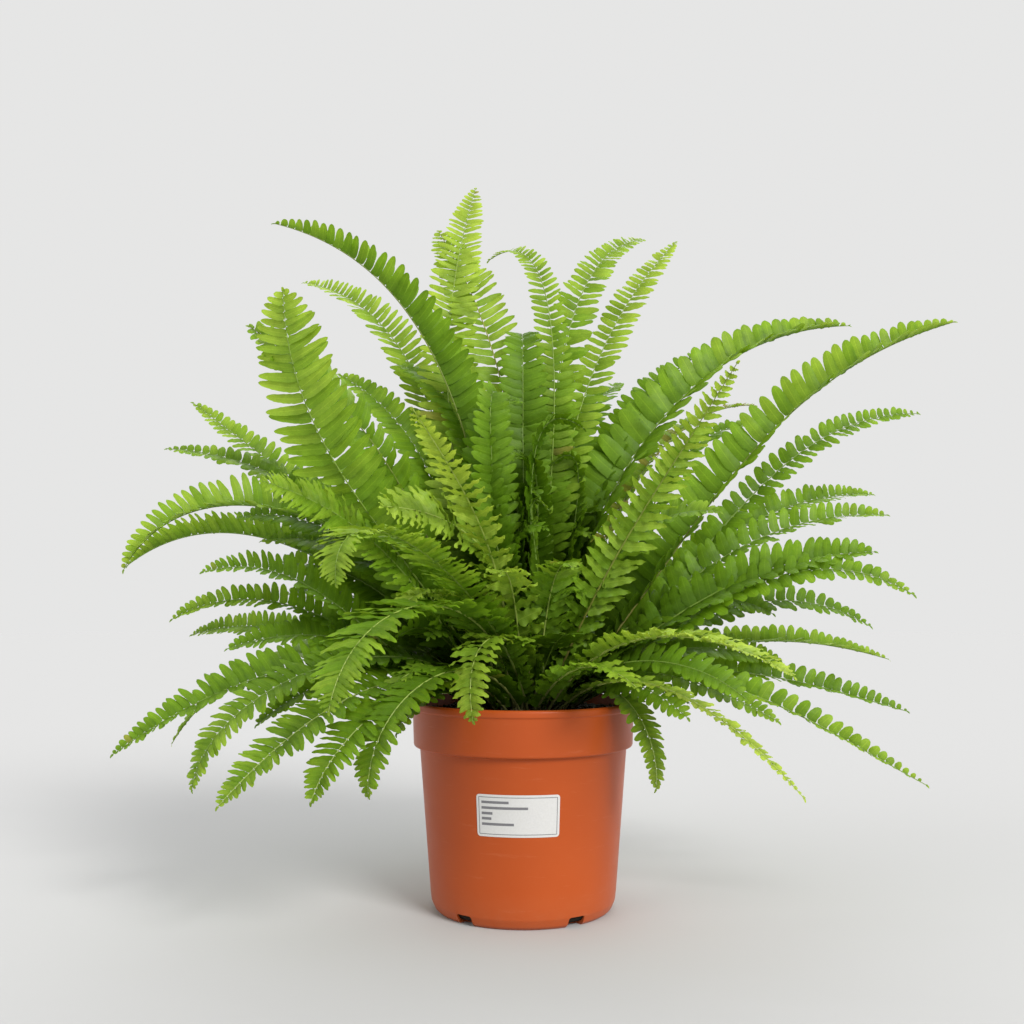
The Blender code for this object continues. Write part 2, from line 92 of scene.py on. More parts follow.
FRONDS = [Frond(*row) for row in (
    (114, 110, 653, 86, -70, 28, 15, -20, 5.5, 48), (130, 125, 610, 94, -50, 33, 15, -30, 6.0),
    (112, 85, 576, 88, 14, 19, 20, -20, 3.8, -25, 0.94), (49, 187, 615, 86, -14, 26, 15, 35, 3.2, -4),
    (35, 182, 602, 84, -42, 23, 12, 26, 5.0), (-172, 214, 578, 83, -12, 33, 66, 0, 3.6, 0, 0.97),
    (148, 255, 570, 74, -14, 28, 28, -32, 4.2, 0, 0.995), (-152, 215, 502, 60, -88, 38, 10, 45, 9.0),
    (-160, 235, 478, 66, -30, 36, 10, -50, 8.0), (165, 320, 442, 52, -36, 26, 22, -34),
    (178, 312, 390, 60, -4, 24, 22, -34), (-168, 329, 282, 76, 64, 37, 44, -38, 2.4, 0, 1.12),
    (168, 374, 289, 48, 36, 30, 60, 0), (-165, 267, 281, 27, 16, 24, 25, -40),
    (180, 302, 241, 31, 30, 21, 30, -40), (158, 345, 223, 14, 16, 23, 25, -40),
    (-165, 333, 138, 38, 36, 30, 30, -34, 2.1), (172, 315, 130, 46, 60, 26, 20, -15),
    (-156, 276, 115, 66, 84, 31, 15, -20), (-143, 275, 112, 43, 44, 31, 15, -15, 3.4),
    (-135, 219, 113, 54, 70, 28, 15, -15, 4.4), (-127, 189, 117, 60, 94, 29, 15, 0, 4.4, 0, 1.3),
    (-122, 252, 184, 82, 76, 36, 10, 0, 6.0, 0, 1.25), (-150, 232, 350, 58, -14, 31, 10, -50, 7.0),
    (-119, 262, 270, 72, 98, 28, 10, 0, 9.0), (-132, 162, 330, 94, 2, 32, 10, -50, 8.0, 0, 1.2),
    (-115, 192, 397, 84, -36, 22, 10, 0, 4.6, 6), (-97, 150, 278, 72, 15, 25, 15, 0),
    (-107, 132, 168, 80, 96, 25, 15, 0, 4.4, -8, 1.9), (-128, 160, 248, 78, 42, 24, 15, 0, 3.8, 0, 1.2),
    (-40, 210, 438, 64, -52, 30, 10, -35, 2.2), (15, 320, 515, 81, -4, 40, 40, 40, 2.2),
    (0, 377, 500, 51, -16, 36, 39, 41, 3.0), (18, 407, 438, 37, -2, 18, 25, 50, 5.5),
    (25, 390, 362, 42, 0, 23, 32, 40, 4.4), (8, 333, 334, 47, 2, 23, 32, 40, 4.4),
    (-8, 294, 298, 40, -2, 27, 28, 42, 5.0), (-12, 321, 262, 40, 34, 23, 20, 40, 3.0),
    (5, 308, 234, 42, 32, 22, 25, 42, 3.0), (15, 354, 202, 26, 16, 21, 34, 20),
    (-48, 275, 207, 54, 26, 25, 20, 0), (8, 348, 158, 25, 16, 19, 38, 38),
    (-8, 331, 108, 33, 28, 20, 38, 36, 1.9), (-42, 264, 120, 43, 44, 19, 15, 0, 1.3),
    (-40, 134, 111, 64, 92, 20, 10, 0, 3.8, 6, 1.4), (-62, 174, 195, 52, 28, 23, 15, 0),
    (-136, 148, 184, 56, 60, 23, 15, 0), (-72, 118, 284, 74, 20, 25, 15, 0),
    (39, 312, 457, 66, -4, 17, 30, 0), (72, 230, 450, 74, 5, 29, 15, 0), (98, 260, 400, 68, 18, 29, 15, 0),
    (122, 300, 330, 60, 24, 28, 15, 0), (58, 320, 300, 56, 24, 28, 15, 0), (88, 320, 230, 50, 40, 27, 15, 0),
    (132, 310, 190, 44, 46, 27, 15, 0), (42, 300, 175, 44, 50, 25, 15, 0), (108, 250, 130, 48, 65, 25, 15, 0),
)]

# How a frond looks: tone from 0, old and dark, to 1, young and yellow-green; crisp, how cut and curled its
# leaflets are; rib, its midrib's colour; brown, how withered it is.
Look = namedtuple("Look", "tone crisp rib brown", defaults=(0.45, 0.2, "green", 0.0))
LOOKS = {
    1: Look(0.80, 0.25), 2: Look(0.66, 0.25, "red"), 3: Look(0.62), 4: Look(0.60), 5: Look(0.70),
    6: Look(0.44, 0.0, "brown"), 7: Look(0.64, 0.15), 8: Look(0.62, 0.25), 9: Look(0.48, 0.25, "brown"),
    19: Look(0.48, 0.25), 20: Look(0.46, 0.3, "pale"), 21: Look(0.42, 0.3, "pale"),
    22: Look(0.42, 0.3, "pale"), 23: Look(0.52, 0.7, "pale"), 24: Look(0.56, 0.9), 25: Look(0.62, 0.9),
    26: Look(0.72, 1.0, "pale"), 27: Look(1.0, 1.0, "pale"), 28: Look(0.72, 1.0, "pale"),
    29: Look(0.68, 0.8, "pale"), 30: Look(0.80, 1.0, "pale"), 31: Look(0.70, 0.9, "brown"),
    32: Look(0.50, 0.0), 33: Look(0.54, 0.0, "brown"), 41: Look(0.84, 0.7, "pale"),
    44: Look(0.92, 0.4, "pale"), 45: Look(0.50, 0.1, "pale"), 46: Look(0.56, 0.8, "pale"),
    47: Look(0.56, 0.8, "pale"), 48: Look(0.50, 0.8, "pale"), 49: Look(0.62, 0.5, "red", 0.35),
}
# Tones of the others are drawn between these.
PLAIN_TONES = (0.32, 0.55)

# How some fronds' leaflets differ: their spacing and their fullness, as multiples of the usual ones.
SPACINGS = {
    1: (1.0, 0.70), 2: (1.0, 0.80), 3: (1.0, 0.75), 4: (1.1, 0.80), 5: (1.1, 0.75), 6: (1.1, 0.95),
    7: (0.95, 0.80), 8: (0.95, 0.90), 10: (1.15, 0.95), 11: (1.2, 0.95), 12: (0.8, 1.0), 13: (0.95, 1.0),
    14: (0.85, 0.95), 16: (0.85, 0.95), 17: (0.85, 1.0), 19: (0.75, 1.0), 20: (0.72, 1.0), 21: (0.72, 1.0),
    22: (0.75, 1.0), 23: (0.62, 1.0), 24: (0.66, 1.0), 25: (0.58, 1.0), 27: (1.3, 0.76), 28: (1.8, 0.65),
    31: (1.0, 0.78), 32: (1.2, 1.10), 33: (1.15, 1.0), 34: (1.5, 0.90), 35: (1.3, 0.90), 36: (1.3, 0.90),
    37: (1.2, 0.95), 38: (1.3, 0.90), 39: (1.3, 0.90), 40: (1.15, 0.95), 42: (1.4, 0.90), 43: (1.4, 0.90),
    45: (0.8, 1.0),
}
USUAL = (1.0, 1.0)
# How far in degrees the front row of a frond rises towards its tip.
LIFTS = {32: 24, 33: 24}

# Leaf colours, as linear light: old, middle and young leaf, withered leaf, and the kinds of midrib.
OLD_LEAF, MIDDLE_LEAF, YOUNG_LEAF = (0.064, 0.155, 0.004), (0.168, 0.328, 0.016), (0.410, 0.585, 0.070)
WITHERED = (0.300, 0.230, 0.060)
RIB_COLOURS = {
    "green": (0.150, 0.215, 0.035), "pale": (0.400, 0.460, 0.130), "brown": (0.150, 0.115, 0.030),
    "red": (0.240, 0.115, 0.045),
}
# Stalks get painted shade: dark at the compost, they take on their own colour over this length.
STALK_PAINTED_SHADE, STALK_OWN_AT_COMPOST, STALK_SHADE_LENGTH = (0.030, 0.020, 0.010), 0.1, 75 * MM


def on_circle(radius, degrees, height=0.0):
    turn = math.radians(degrees)
    return Vector((radius * math.cos(turn), radius * math.sin(turn), height))


def mixed(one, other, share):
    return tuple(a + (b - a) * share for a, b in zip(one, other))


def steepness(frond):
    return frond.launch + math.degrees(math.atan2(frond.height * MM - SOIL_TOP, frond.reach * MM))


def ring_turn(directions):
    """The turn of a ring's even seats that suits its fronds' directions best."""
    step = 360 / len(directions)
    misses = [(direction - at * step + 180) % 360 - 180 for at, direction in enumerate(directions)]
    east = sum(math.cos(math.radians(miss)) for miss in misses)
    north = sum(math.sin(math.radians(miss)) for miss in misses)
    return math.degrees(math.atan2(north, east))


def seats():
    """Where each frond's stalk leaves the soil, in the order of FRONDS."""
    order = sorted(range(len(FRONDS)), key=lambda at: -steepness(FRONDS[at]))
    places = {}
    for ring, count in enumerate(RING_SEATS):
        members, order = order[:count], order[count:]
        members.sort(key=lambda at: FRONDS[at].direction % 360)
        turn = ring_turn([FRONDS[at].direction % 360 for at in members])
        for seat, at in enumerate(members):
            places[at] = on_circle(ring * RING_STEP, turn + 360 * seat / count, SOIL_TOP)
    return [places[at] for at in range(len(FRONDS))]


class Midrib:
    """A frond's midrib: a cubic curve in the upright plane through its seat and tip, bowed by its sweep."""

    def __init__(self, frond, seat):
        self.frond = frond
        self.seat = seat
        self.tip = on_circle(frond.reach * MM, frond.direction, frond.height * MM)
        self.outward = Vector((self.tip.x - seat.x, self.tip.y - seat.y, 0.0)).normalized()
        self.side = Vector((-self.outward.y, self.outward.x, 0.0))
        self.handles = self.find_handles()
        self.walk = self.measure()
        self.length = self.walk[-1]
        self.bare = min(BARE_SHARE * self.length, BARE_MOST)

    def sloped(self, degrees):
        slope = math.radians(degrees)
        return self.outward * math.cos(slope) + UP * math.sin(slope)

    def find_handles(self):
        chord = (self.tip - self.seat).length * self.frond.arch
        # The middle of the curve moves by three quarters of what its handles move.
        bow = self.side * self.frond.sweep * MM * 4 / 3
        first = self.seat + self.sloped(self.frond.launch) * chord * LAUNCH_HANDLE + bow
        last = self.tip - self.sloped(-self.frond.fall) * chord * FALL_HANDLE + bow
        return first, last

    def at_time(self, time):
        first, last = self.handles
        left = 1 - time
        start = self.seat * left**3 + first * 3 * left**2 * time
        return start + last * 3 * left * time**2 + self.tip * time**3

    def measure(self):
        walk, before = [0.0], self.seat
        for step in range(1, CURVE_SAMPLES + 1):
            now = self.at_time(step / CURVE_SAMPLES)
            walk.append(walk[-1] + (now - before).length)
            before = now
        return walk

    def point(self, distance):
        step = next((at for at in range(CURVE_SAMPLES) if self.walk[at + 1] >= distance), CURVE_SAMPLES - 1)
        span = self.walk[step + 1] - self.walk[step]
        return self.at_time((step + (distance - self.walk[step]) / span) / CURVE_SAMPLES)

    def frame(self, distance):
        """Forward, left and upper-face directions at a distance along the midrib."""
        step = self.length / CURVE_SAMPLES
        low, high = max(0.0, distance - step), min(self.length, distance + step)
        forward = (self.point(high) - self.point(low)).normalized()
        left = (self.side - forward * forward.dot(self.side)).normalized()
        roll = math.radians(self.frond.roll) * min(1.0, ROLL_SOON * distance / self.length)
        left = Matrix.Rotation(roll, 3, forward) @ left
        return forward, left, forward.cross(left)

    def share(self, distance):
        return (distance - self.bare) / (self.length - self.bare)


def put_in_scene(name, data, *materials):
    thing = bpy.data.objects.new(name, data)
    bpy.context.scene.collection.objects.link(thing)
    for material in materials:
        data.materials.append(material)
    return thing


def declare(thing, slot, *nodes):
    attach(thing, "root")
    if nodes:
        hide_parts(*nodes)


def finished(shape, name):
    """The mesh of a bmesh shape, which is then let go."""
    mesh = bpy.data.meshes.new(name)
    shape.to_mesh(mesh)
    shape.free()
    return mesh


def closed(shape, name):
    """The mesh of a closed shape, its faces turned outwards."""
    bmesh.ops.recalc_face_normals(shape, faces=shape.faces)
    return finished(shape, name)


def smooth(mesh):
    mesh.polygons.foreach_set("use_smooth", np.ones(len(mesh.polygons), bool))


def skin(shape, rings, turns):
    """Faces between neighbouring rings of points. A ring may be a single point."""
    for inner, outer in zip(rings, rings[1:]):
        for at in range(turns):
            beside = (at + 1) % turns
            ring = [inner[at % len(inner)], inner[beside % len(inner)]]
            ring += [outer[beside % len(outer)], outer[at % len(outer)]]
            shape.faces.new(list(dict.fromkeys(ring)))


class Surface:
    """Quads gathered from many small grids, with a place on the leaf and a colour at each point."""

    def __init__(self):
        self.grids, self.count = [], 0

    def add_grid(self, points, places, colours, slot, wrap=False):
        """Adds a rows x columns grid. A wrapped grid closes on itself across its columns."""
        rows, columns = points.shape[:2]
        index = np.arange(rows * columns).reshape(rows, columns) + self.count
        if wrap:
            index = np.hstack((index, index[:, :1]))
        corners = (index[:-1, :-1], index[:-1, 1:], index[1:, 1:], index[1:, :-1])
        quads = np.stack(corners, axis=-1).reshape(-1, 4)
        flat = [part.reshape(rows * columns, -1) for part in (points, places, colours)]
        self.grids.append((*flat, quads, np.full(len(quads), slot)))
        self.count += rows * columns

    def build(self, name, materials):
        points, places, colours, quads, slots = (np.concatenate(parts) for parts in zip(*self.grids))
        mesh = bpy.data.meshes.new(name)
        mesh.from_pydata(points.tolist(), [], quads.tolist())
        mesh.uv_layers.new(name="leaf").data.foreach_set("uv", places[quads.ravel()].ravel())
        tones = mesh.color_attributes.new("tone", "FLOAT_COLOR", "POINT")
        tones.data.foreach_set("color", np.hstack((colours, np.ones((len(colours), 1)))).ravel())
        mesh.polygons.foreach_set("material_index", slots)
        smooth(mesh)
        return put_in_scene(name, mesh, *materials)


# A leaflet's form. Lengths are shares of its length or of its half width.
FOOT_WIDTH, FOOT_RISE, FOOT_POWER = 0.62, 0.20, 0.8
END_POWER, CRISP_POWER, END_ROUND, END_WIDTH = 5.0, -3.1, 0.50, 0.05
EAR_HEIGHT, EAR_PLACE, EAR_SPREAD = 0.26, 0.10, 0.085
TOOTH, LOBE, LOBES, LOBE_AT_FOOT, LOBE_SHIFT = 0.018, 0.46, 4.2, 0.25, 0.43
TAPERING = 0.12
CREASE, CUP = 0.08, 0.16
RIPPLE, CRISP_RIPPLE, RIPPLES, RIPPLE_SHIFT = 0.04, 0.20, 2.6, 0.23
ROW_SPREAD, DROOP_POWER, CURL_FROM, TWIST_GROWTH = 1.3, 1.4, 0.2, 0.6
ACROSS = np.array((-1.0, -0.55, 0.0, 0.55, 1.0))
LEAFLET_VALUES = "foot out ahead up length width droop rows lean curl twist phase crisp"
Leaflet = namedtuple("Leaflet", LEAFLET_VALUES, defaults=(0.0,) * 5)
# Pairs of rows of quads on a leaflet: the fewest, the most, and the length for each pair.
FINE_ROWS, COARSE_ROWS = (4, 8, 3.2 * MM), (3, 5, 4.8 * MM)


def leaflet_rows(length, fewest, most, each):
    """How many rows of quads a leaflet of this length gets, an even number."""
    return 2 * int(min(most, max(fewest, round(length / each))))


def leaflet_halves(along, leaf):
    """Half widths of a leaflet's tip side and foot side, as shares of its widest half."""
    foot = FOOT_WIDTH + (1 - FOOT_WIDTH) * np.clip(along / FOOT_RISE, 0, 1) ** FOOT_POWER
    power = END_POWER + CRISP_POWER * leaf.crisp
    body = np.maximum((1 - along**power) ** END_ROUND, END_WIDTH) * (1 - TAPERING * along) * foot
    ear = EAR_HEIGHT * np.exp(-(((along - EAR_PLACE) / EAR_SPREAD) ** 2))
    teeth = 1 + TOOTH * (np.arange(leaf.rows + 1) % 2 * 2 - 1)
    depth = LOBE * leaf.crisp * (LOBE_AT_FOOT + (1 - LOBE_AT_FOOT) * along)
    cuts = [1 - depth * (1 - (LOBES * along + leaf.phase + at) % 1.0) for at in (0.0, LOBE_SHIFT)]
    return (body + ear) * teeth * cuts[0], body * teeth * cuts[1]


def unit(vectors):
    return vectors / np.linalg.norm(vectors, axis=-1, keepdims=True)


def leaflet_spine(leaf, along):
    """A leaflet's midline, and the directions across it and out of its face, at shares of its length."""
    out, ahead, up = (np.array(axis) for axis in (leaf.out, leaf.ahead, leaf.up))
    rise = -leaf.droop * along**DROOP_POWER
    bend = leaf.lean + leaf.curl * (along - CURL_FROM)
    level = np.cos(bend)[:, None] * out + np.sin(bend)[:, None] * ahead
    heading = np.cos(rise)[:, None] * level + np.sin(rise)[:, None] * up
    steps = np.diff(along, prepend=0.0)[:, None] * heading * leaf.length
    spine = np.array(leaf.foot) + np.cumsum(steps, axis=0)
    across = unit(np.cross(np.cross(heading, ahead), heading))
    face = np.cross(heading, across) * (1 if np.dot(np.cross(out, ahead), up) > 0 else -1)
    turn = leaf.twist * (1 + TWIST_GROWTH * along)[:, None]
    twisted = across * np.cos(turn) + face * np.sin(turn)
    return spine, twisted, face * np.cos(turn) - across * np.sin(turn)


def leaflet_grid(leaf):
    """A leaflet's points, and each one's place along and across it."""
    along = 1 - (1 - np.linspace(0, 1, leaf.rows + 1)) ** ROW_SPREAD
    spine, across, face = leaflet_spine(leaf, along)
    tip_side, foot_side = leaflet_halves(along, leaf)
    half = np.where(ACROSS[None, :] > 0, tip_side[:, None], foot_side[:, None]) * leaf.width / 2
    turns = RIPPLES * along[:, None] + leaf.phase + RIPPLE_SHIFT * np.sign(ACROSS)[None, :]
    wave = (RIPPLE + CRISP_RIPPLE * leaf.crisp) * np.sin(2 * math.pi * turns)
    bulge = CREASE * np.abs(ACROSS) - CUP * ACROSS**2 + wave * ACROSS**2
    sideways = half * ACROSS
    lift = bulge * leaf.width / 2
    points = spine[:, None, :] + across[:, None, :] * sideways[..., None] + face[:, None, :] * lift[..., None]
    places = np.stack(np.broadcast_arrays(along[:, None], (ACROSS[None, :] + 1) / 2), axis=-1)
    return points, places


def leaf_colour(tone):
    """Leaf colour from old and dark, 0, to young and yellow-green, 1."""
    if tone < 0.5:
        return mixed(OLD_LEAF, MIDDLE_LEAF, max(0.0, tone) * 2)
    return mixed(MIDDLE_LEAF, YOUNG_LEAF, min(1.0, tone) * 2 - 1)


# Rows of leaflets: where they start on the bare stalk and end, and their spacing, which shrinks to the tip.
STARTS_AT, ROW_STAGGER, ENDS_BEFORE = 0.38, 0.12, 1.5 * MM
PITCH_LEAST, PITCH_BY_WIDTH, PITCH_VARIES = 4.4 * MM, 0.16, (0.93, 1.07)
PITCH_TIP, PITCH_SHRINKS, PITCH_POWER = 0.44, 0.45, 1.3
# Leaflet sizes. Pairs in brackets here and below are the ends between which a value is drawn.
LEAST_LENGTH, LENGTH_VARIES, WIDTH_VARIES = 2.4 * MM, (0.94, 1.06), (0.94, 1.10)
STALK_LENGTH, STALK_GROWTH = 0.25, 1.1
FULLNESS, CRISP_FULLNESS, SLIM_SOON = (1.03, 1.15), 0.20, 1.8
WIDEST, WIDEST_MORE = 0.85, 0.8 * MM
STUNTED, STUNTED_BELOW, STUNTED_LENGTH = 0.03, 0.7, (0.5, 0.85)
# Leaflet attitudes: fold and lean in degrees, droop, curl and twist in radians.
FOLD_VARIES, LEAN_VARIES = (-6, 6), (-5, 5)
FLAT_FOLD, UPRIGHT_FOLD = 20, 70
DROOP, DROOP_VARIES, CRISP_DROOP, UPRIGHT_DROOP = (0.10, 0.40), (0.5, 1.5), 0.15, 0.7
CURL, TWIST, CRISP_TWIST = (0.05, 0.30), (-0.15, 0.20), 2
FOOT_SUNK = 0.6
# The leaflet at the frond's end.
END_LENGTH, END_ACROSS, END_BACK, END_DROOP = 4.0 * MM, 2.8 * MM, 1.0 * MM, 0.8
# Midribs, which start this many steps down in the compost and turn half green over a share of their length.
RIB_SIDES, RIB_STEP, FEWEST_STEPS, STEPS_BELOW = 7, 5 * MM, 12, 2
RIB_FOOT, RIB_TIP, RIB_TAPER = 1.25 * MM, 0.32 * MM, 0.8
RIB_GREENS, RIB_GREEN = 0.55, 0.5
# Leaflet tones: lighter to the tip, darker at the foot unless crisp, a few withered.
TIP_TONE, TONE_LESS, TONE_VARIES = 0.22, 0.08, (-0.09, 0.09)
FOOT_TONE, FOOT_TONE_CRISP, FOOT_TONE_END = 0.30, 0.7, 0.35
BROWNED, YELLOWED_SHARE, YELLOWED = (0.3, 0.9), 0.003, (0.2, 0.6)
# Leaflets near the plant's heart get painted shade: their colour is darkened there, less so on crisp fronds.
HEART, HEART_REACH, HEART_SHADE, HEART_CRISP = Vector((0.0, 0.05, 0.20)), 0.16, 0.36, 0.3


def leaflet_length(frond, share):
    """Leaflet length at a share of the blade, which may be below 0, on the stalk."""
    if share < 0:
        return frond.width * MM * max(STALK_LENGTH, FOOT_LENGTH + STALK_GROWTH * share)
    swell = min(1.0, FOOT_LENGTH + FOOT_SWELL * share)
    return frond.width * MM * swell * max(0.0, 1.0 - share**frond.taper) ** TIP_ROUND


def leaflet_spacing(frond, share):
    shrink = 1 - PITCH_TIP * max(0.0, (share - PITCH_SHRINKS) / (1 - PITCH_SHRINKS)) ** PITCH_POWER
    return (PITCH_LEAST + PITCH_BY_WIDTH * frond.width * MM) * shrink


class Fern:
    """Builds one frond's mesh: its stalk and midrib, two rows of leaflets and its tip."""

    def __init__(self, rib, look, chance, spacing=USUAL, lift=0, rows=FINE_ROWS):
        self.rib, self.look, self.chance, self.lift, self.rows = rib, look, chance, lift, rows
        self.spacing, self.slim = spacing
        self.surface = Surface()
        self.fullness = self.drawn(FULLNESS) + CRISP_FULLNESS * look.crisp
        upright = max(0.0, (rib.frond.fold - FLAT_FOLD) / (UPRIGHT_FOLD - FLAT_FOLD))
        self.droop = self.drawn(DROOP) * (1 - UPRIGHT_DROOP * upright) + CRISP_DROOP * look.crisp
        self.add_midrib()
        self.add_rows()

    def drawn(self, ends):
        return self.chance.uniform(*ends)

    def rib_radius(self, distance):
        share = max(0.0, distance / self.rib.length)
        return RIB_FOOT + (RIB_TIP - RIB_FOOT) * share**RIB_TAPER

    def rib_colour(self, distance):
        base = RIB_COLOURS[self.look.rib]
        green = min(1.0, distance / (RIB_GREENS * self.rib.length))
        colour = mixed(base, mixed(base, leaf_colour(self.look.tone), RIB_GREEN), green)
        # Painted shade: the stalk darkens towards the compost.
        return mixed(STALK_PAINTED_SHADE, colour, min(1.0, STALK_OWN_AT_COMPOST + distance / STALK_SHADE_LENGTH))

    def add_midrib(self):
        rib, points, colours = self.rib, [], []
        steps = max(FEWEST_STEPS, round(rib.length / RIB_STEP))
        rounds = [2 * math.pi * at / RIB_SIDES for at in range(RIB_SIDES)]
        for step in range(-STEPS_BELOW, steps + 1):
            distance = rib.length * max(step, 0) / steps
            middle = rib.point(distance) + UP * min(step, 0) * STALK_DEPTH / STEPS_BELOW
            _, left, up = rib.frame(distance)
            radius = self.rib_radius(distance)
            points.append([middle + (left * math.cos(a) + up * math.sin(a)) * radius for a in rounds])
            colours.append([self.rib_colour(distance)] * RIB_SIDES)
        points, colours = np.array(points), np.array(colours)
        self.surface.add_grid(points, np.zeros((*points.shape[:2], 2)), colours, 1, wrap=True)

    def add_rows(self):
        rib = self.rib
        for side, start in ((1, STARTS_AT), (-1, STARTS_AT + ROW_STAGGER)):
            distance = rib.bare * start
            while distance < rib.length - ENDS_BEFORE:
                self.add_leaflet(distance, side)
                distance += self.pitch(rib.share(distance)) * self.drawn(PITCH_VARIES)
        self.add_tip()

    def pitch(self, share):
        return leaflet_spacing(self.rib.frond, share) * self.spacing

    def leaflet_size(self, share):
        """The length and width of a leaflet at a share of the blade."""
        length = max(LEAST_LENGTH, leaflet_length(self.rib.frond, share) * self.drawn(LENGTH_VARIES))
        slim = 1 + (self.slim - 1) * min(1.0, max(0.0, SLIM_SOON * share))
        width = self.pitch(share) * self.fullness * slim * self.drawn(WIDTH_VARIES)
        width = min(width, length * WIDEST + WIDEST_MORE)
        if self.chance.random() < STUNTED and share < STUNTED_BELOW:
            length *= self.drawn(STUNTED_LENGTH)
        return length, width

    def add_leaflet(self, distance, side):
        rib, crisp = self.rib, self.look.crisp
        share = rib.share(distance)
        forward, left, up = rib.frame(distance)
        lift = self.lift * max(0.0, share) ** 2 if side < 0 else 0
        fold = math.radians(rib.frond.fold + lift + self.drawn(FOLD_VARIES))
        out = left * side * math.cos(fold) + up * math.sin(fold)
        face = up * math.cos(fold) - left * side * math.sin(fold)
        length, width = self.leaflet_size(share)
        lean = LEAN + TIP_LEAN * max(0.0, share) + CRISP_LEAN * crisp + self.drawn(LEAN_VARIES)
        self.add_leaf(share, Leaflet(
            foot=rib.point(distance) + out * self.rib_radius(distance) * FOOT_SUNK, out=out, ahead=forward,
            up=face, length=length, width=width, lean=math.radians(lean),
            droop=self.droop * self.drawn(DROOP_VARIES), curl=self.drawn(CURL),
            twist=self.drawn(TWIST) * (1 + CRISP_TWIST * crisp), phase=self.chance.random(), crisp=crisp,
            rows=leaflet_rows(length, *self.rows),
        ))

    def add_tip(self):
        """The small pointed leaflet at the frond's end."""
        rib = self.rib
        forward, left, up = rib.frame(rib.length)
        self.add_leaf(1.0, Leaflet(
            foot=rib.point(rib.length - END_BACK), out=forward, ahead=left, up=up, length=END_LENGTH,
            width=END_ACROSS, droop=END_DROOP, rows=2 * self.rows[0],
        ))

    def add_leaf(self, share, leaf):
        points, places = leaflet_grid(leaf)
        colours = np.broadcast_to(np.array(self.leaflet_colour(share, leaf.foot)), (*points.shape[:2], 3))
        self.surface.add_grid(points, places, colours, 0)

    def leaflet_colour(self, share, foot):
        look, chance = self.look, self.chance
        tone = look.tone + TIP_TONE * max(0.0, share) ** 2 - TONE_LESS + self.drawn(TONE_VARIES)
        tone -= FOOT_TONE * (1 - FOOT_TONE_CRISP * look.crisp) * max(0.0, 1 - share / FOOT_TONE_END)
        colour = leaf_colour(tone)
        if look.brown and chance.random() < look.brown:
            colour = mixed(colour, WITHERED, self.drawn(BROWNED))
        elif chance.random() < YELLOWED_SHARE:
            colour = mixed(colour, WITHERED, self.drawn(YELLOWED))
        # Painted shade: leaflets near the plant's heart are darkened.
        outside = min(1.0, (foot - HEART).length / HEART_REACH + HEART_CRISP * look.crisp)
        return mixed(tuple(part * HEART_SHADE for part in colour), colour, outside**2)


# Noise as colour, between two stops, each a place and a colour; as relief; and as roughness.
Clouds = namedtuple("Clouds", "scale detail low high")
Relief = namedtuple("Relief", "scale detail depth strength")
Polish = namedtuple("Polish", "scale detail span least")
# Sockets of the mix node, in its colour mode.
MIX_INPUTS, MIX_RESULT = (0, 6, 7), 2
BLACK, WHITE = (0.0, 0.0, 0.0), (1.0, 1.0, 1.0)


class Nodes:
    """A material's node tree, with short ways to add and link nodes."""

    def __init__(self, name):
        self.material = bpy.data.materials.new(name)
        self.material.use_nodes = True
        self.tree = self.material.node_tree
        self.shader = self.tree.nodes["Principled BSDF"]
        self.output = self.tree.nodes["Material Output"]

    def add(self, kind, settings=None, **sockets):
        node = self.tree.nodes.new(kind)
        for name, value in (settings or {}).items():
            setattr(node, name, value)
        self.fill(node, sockets)
        return node

    def fill(self, node, sockets):
        """Sets or links a node's sockets, each given by its name or as i and its number."""
        for name, value in sockets.items():
            self.put(value, node.inputs[int(name[1:]) if name[1:].isdigit() else name.replace("_", " ")])

    def put(self, value, socket):
        if isinstance(value, bpy.types.NodeSocket):
            self.tree.links.new(value, socket)
        else:
            socket.default_value = value

    def shade(self, **sockets):
        self.fill(self.shader, sockets)

    def math(self, operation, first, second=0.0, third=0.0):
        return self.add("ShaderNodeMath", {"operation": operation}, i0=first, i1=second, i2=third).outputs[0]

    def place(self):
        return self.add("ShaderNodeTexCoord").outputs["Object"]

    def tone(self):
        return self.add("ShaderNodeVertexColor", {"layer_name": "tone"}).outputs["Color"]

    def noise(self, scale, detail, vector=None, breakup=0.5):
        node = self.add("ShaderNodeTexNoise", Scale=scale, Detail=detail, Roughness=breakup)
        self.put(vector or self.place(), node.inputs["Vector"])
        return node.outputs["Fac"]

    def ramp(self, fac, *stops):
        node = self.add("ShaderNodeValToRGB", Fac=fac)
        while len(node.color_ramp.elements) < len(stops):
            node.color_ramp.elements.new(0.5)
        for element, (place, colour) in zip(node.color_ramp.elements, stops):
            element.position = place
            element.color = (*colour, 1.0)
        return node.outputs["Color"]

    def mix(self, fac, one, other, blend="MIX"):
        node = self.add("ShaderNodeMix", {"data_type": "RGBA", "blend_type": blend})
        for value, at in zip((fac, one, other), MIX_INPUTS):
            self.put((*value, 1.0) if isinstance(value, tuple) else value, node.inputs[at])
        return node.outputs[MIX_RESULT]

    def product(self, one, other):
        return self.math("MULTIPLY", one, other)

    def times(self, one, other):
        """One colour multiplied by another."""
        return self.mix(1.0, one, other, "MULTIPLY")

    def clouds(self, clouds):
        return self.ramp(self.noise(clouds.scale, clouds.detail), clouds.low, clouds.high)

    def polish(self, polish):
        return self.math("MULTIPLY_ADD", self.noise(polish.scale, polish.detail), polish.span, polish.least)

    def bump(self, height, depth, strength):
        node = self.add("ShaderNodeBump", Height=height, Distance=depth, Strength=strength)
        return node.outputs["Normal"]

    def relief(self, relief):
        return self.bump(self.noise(relief.scale, relief.detail), relief.depth, relief.strength)


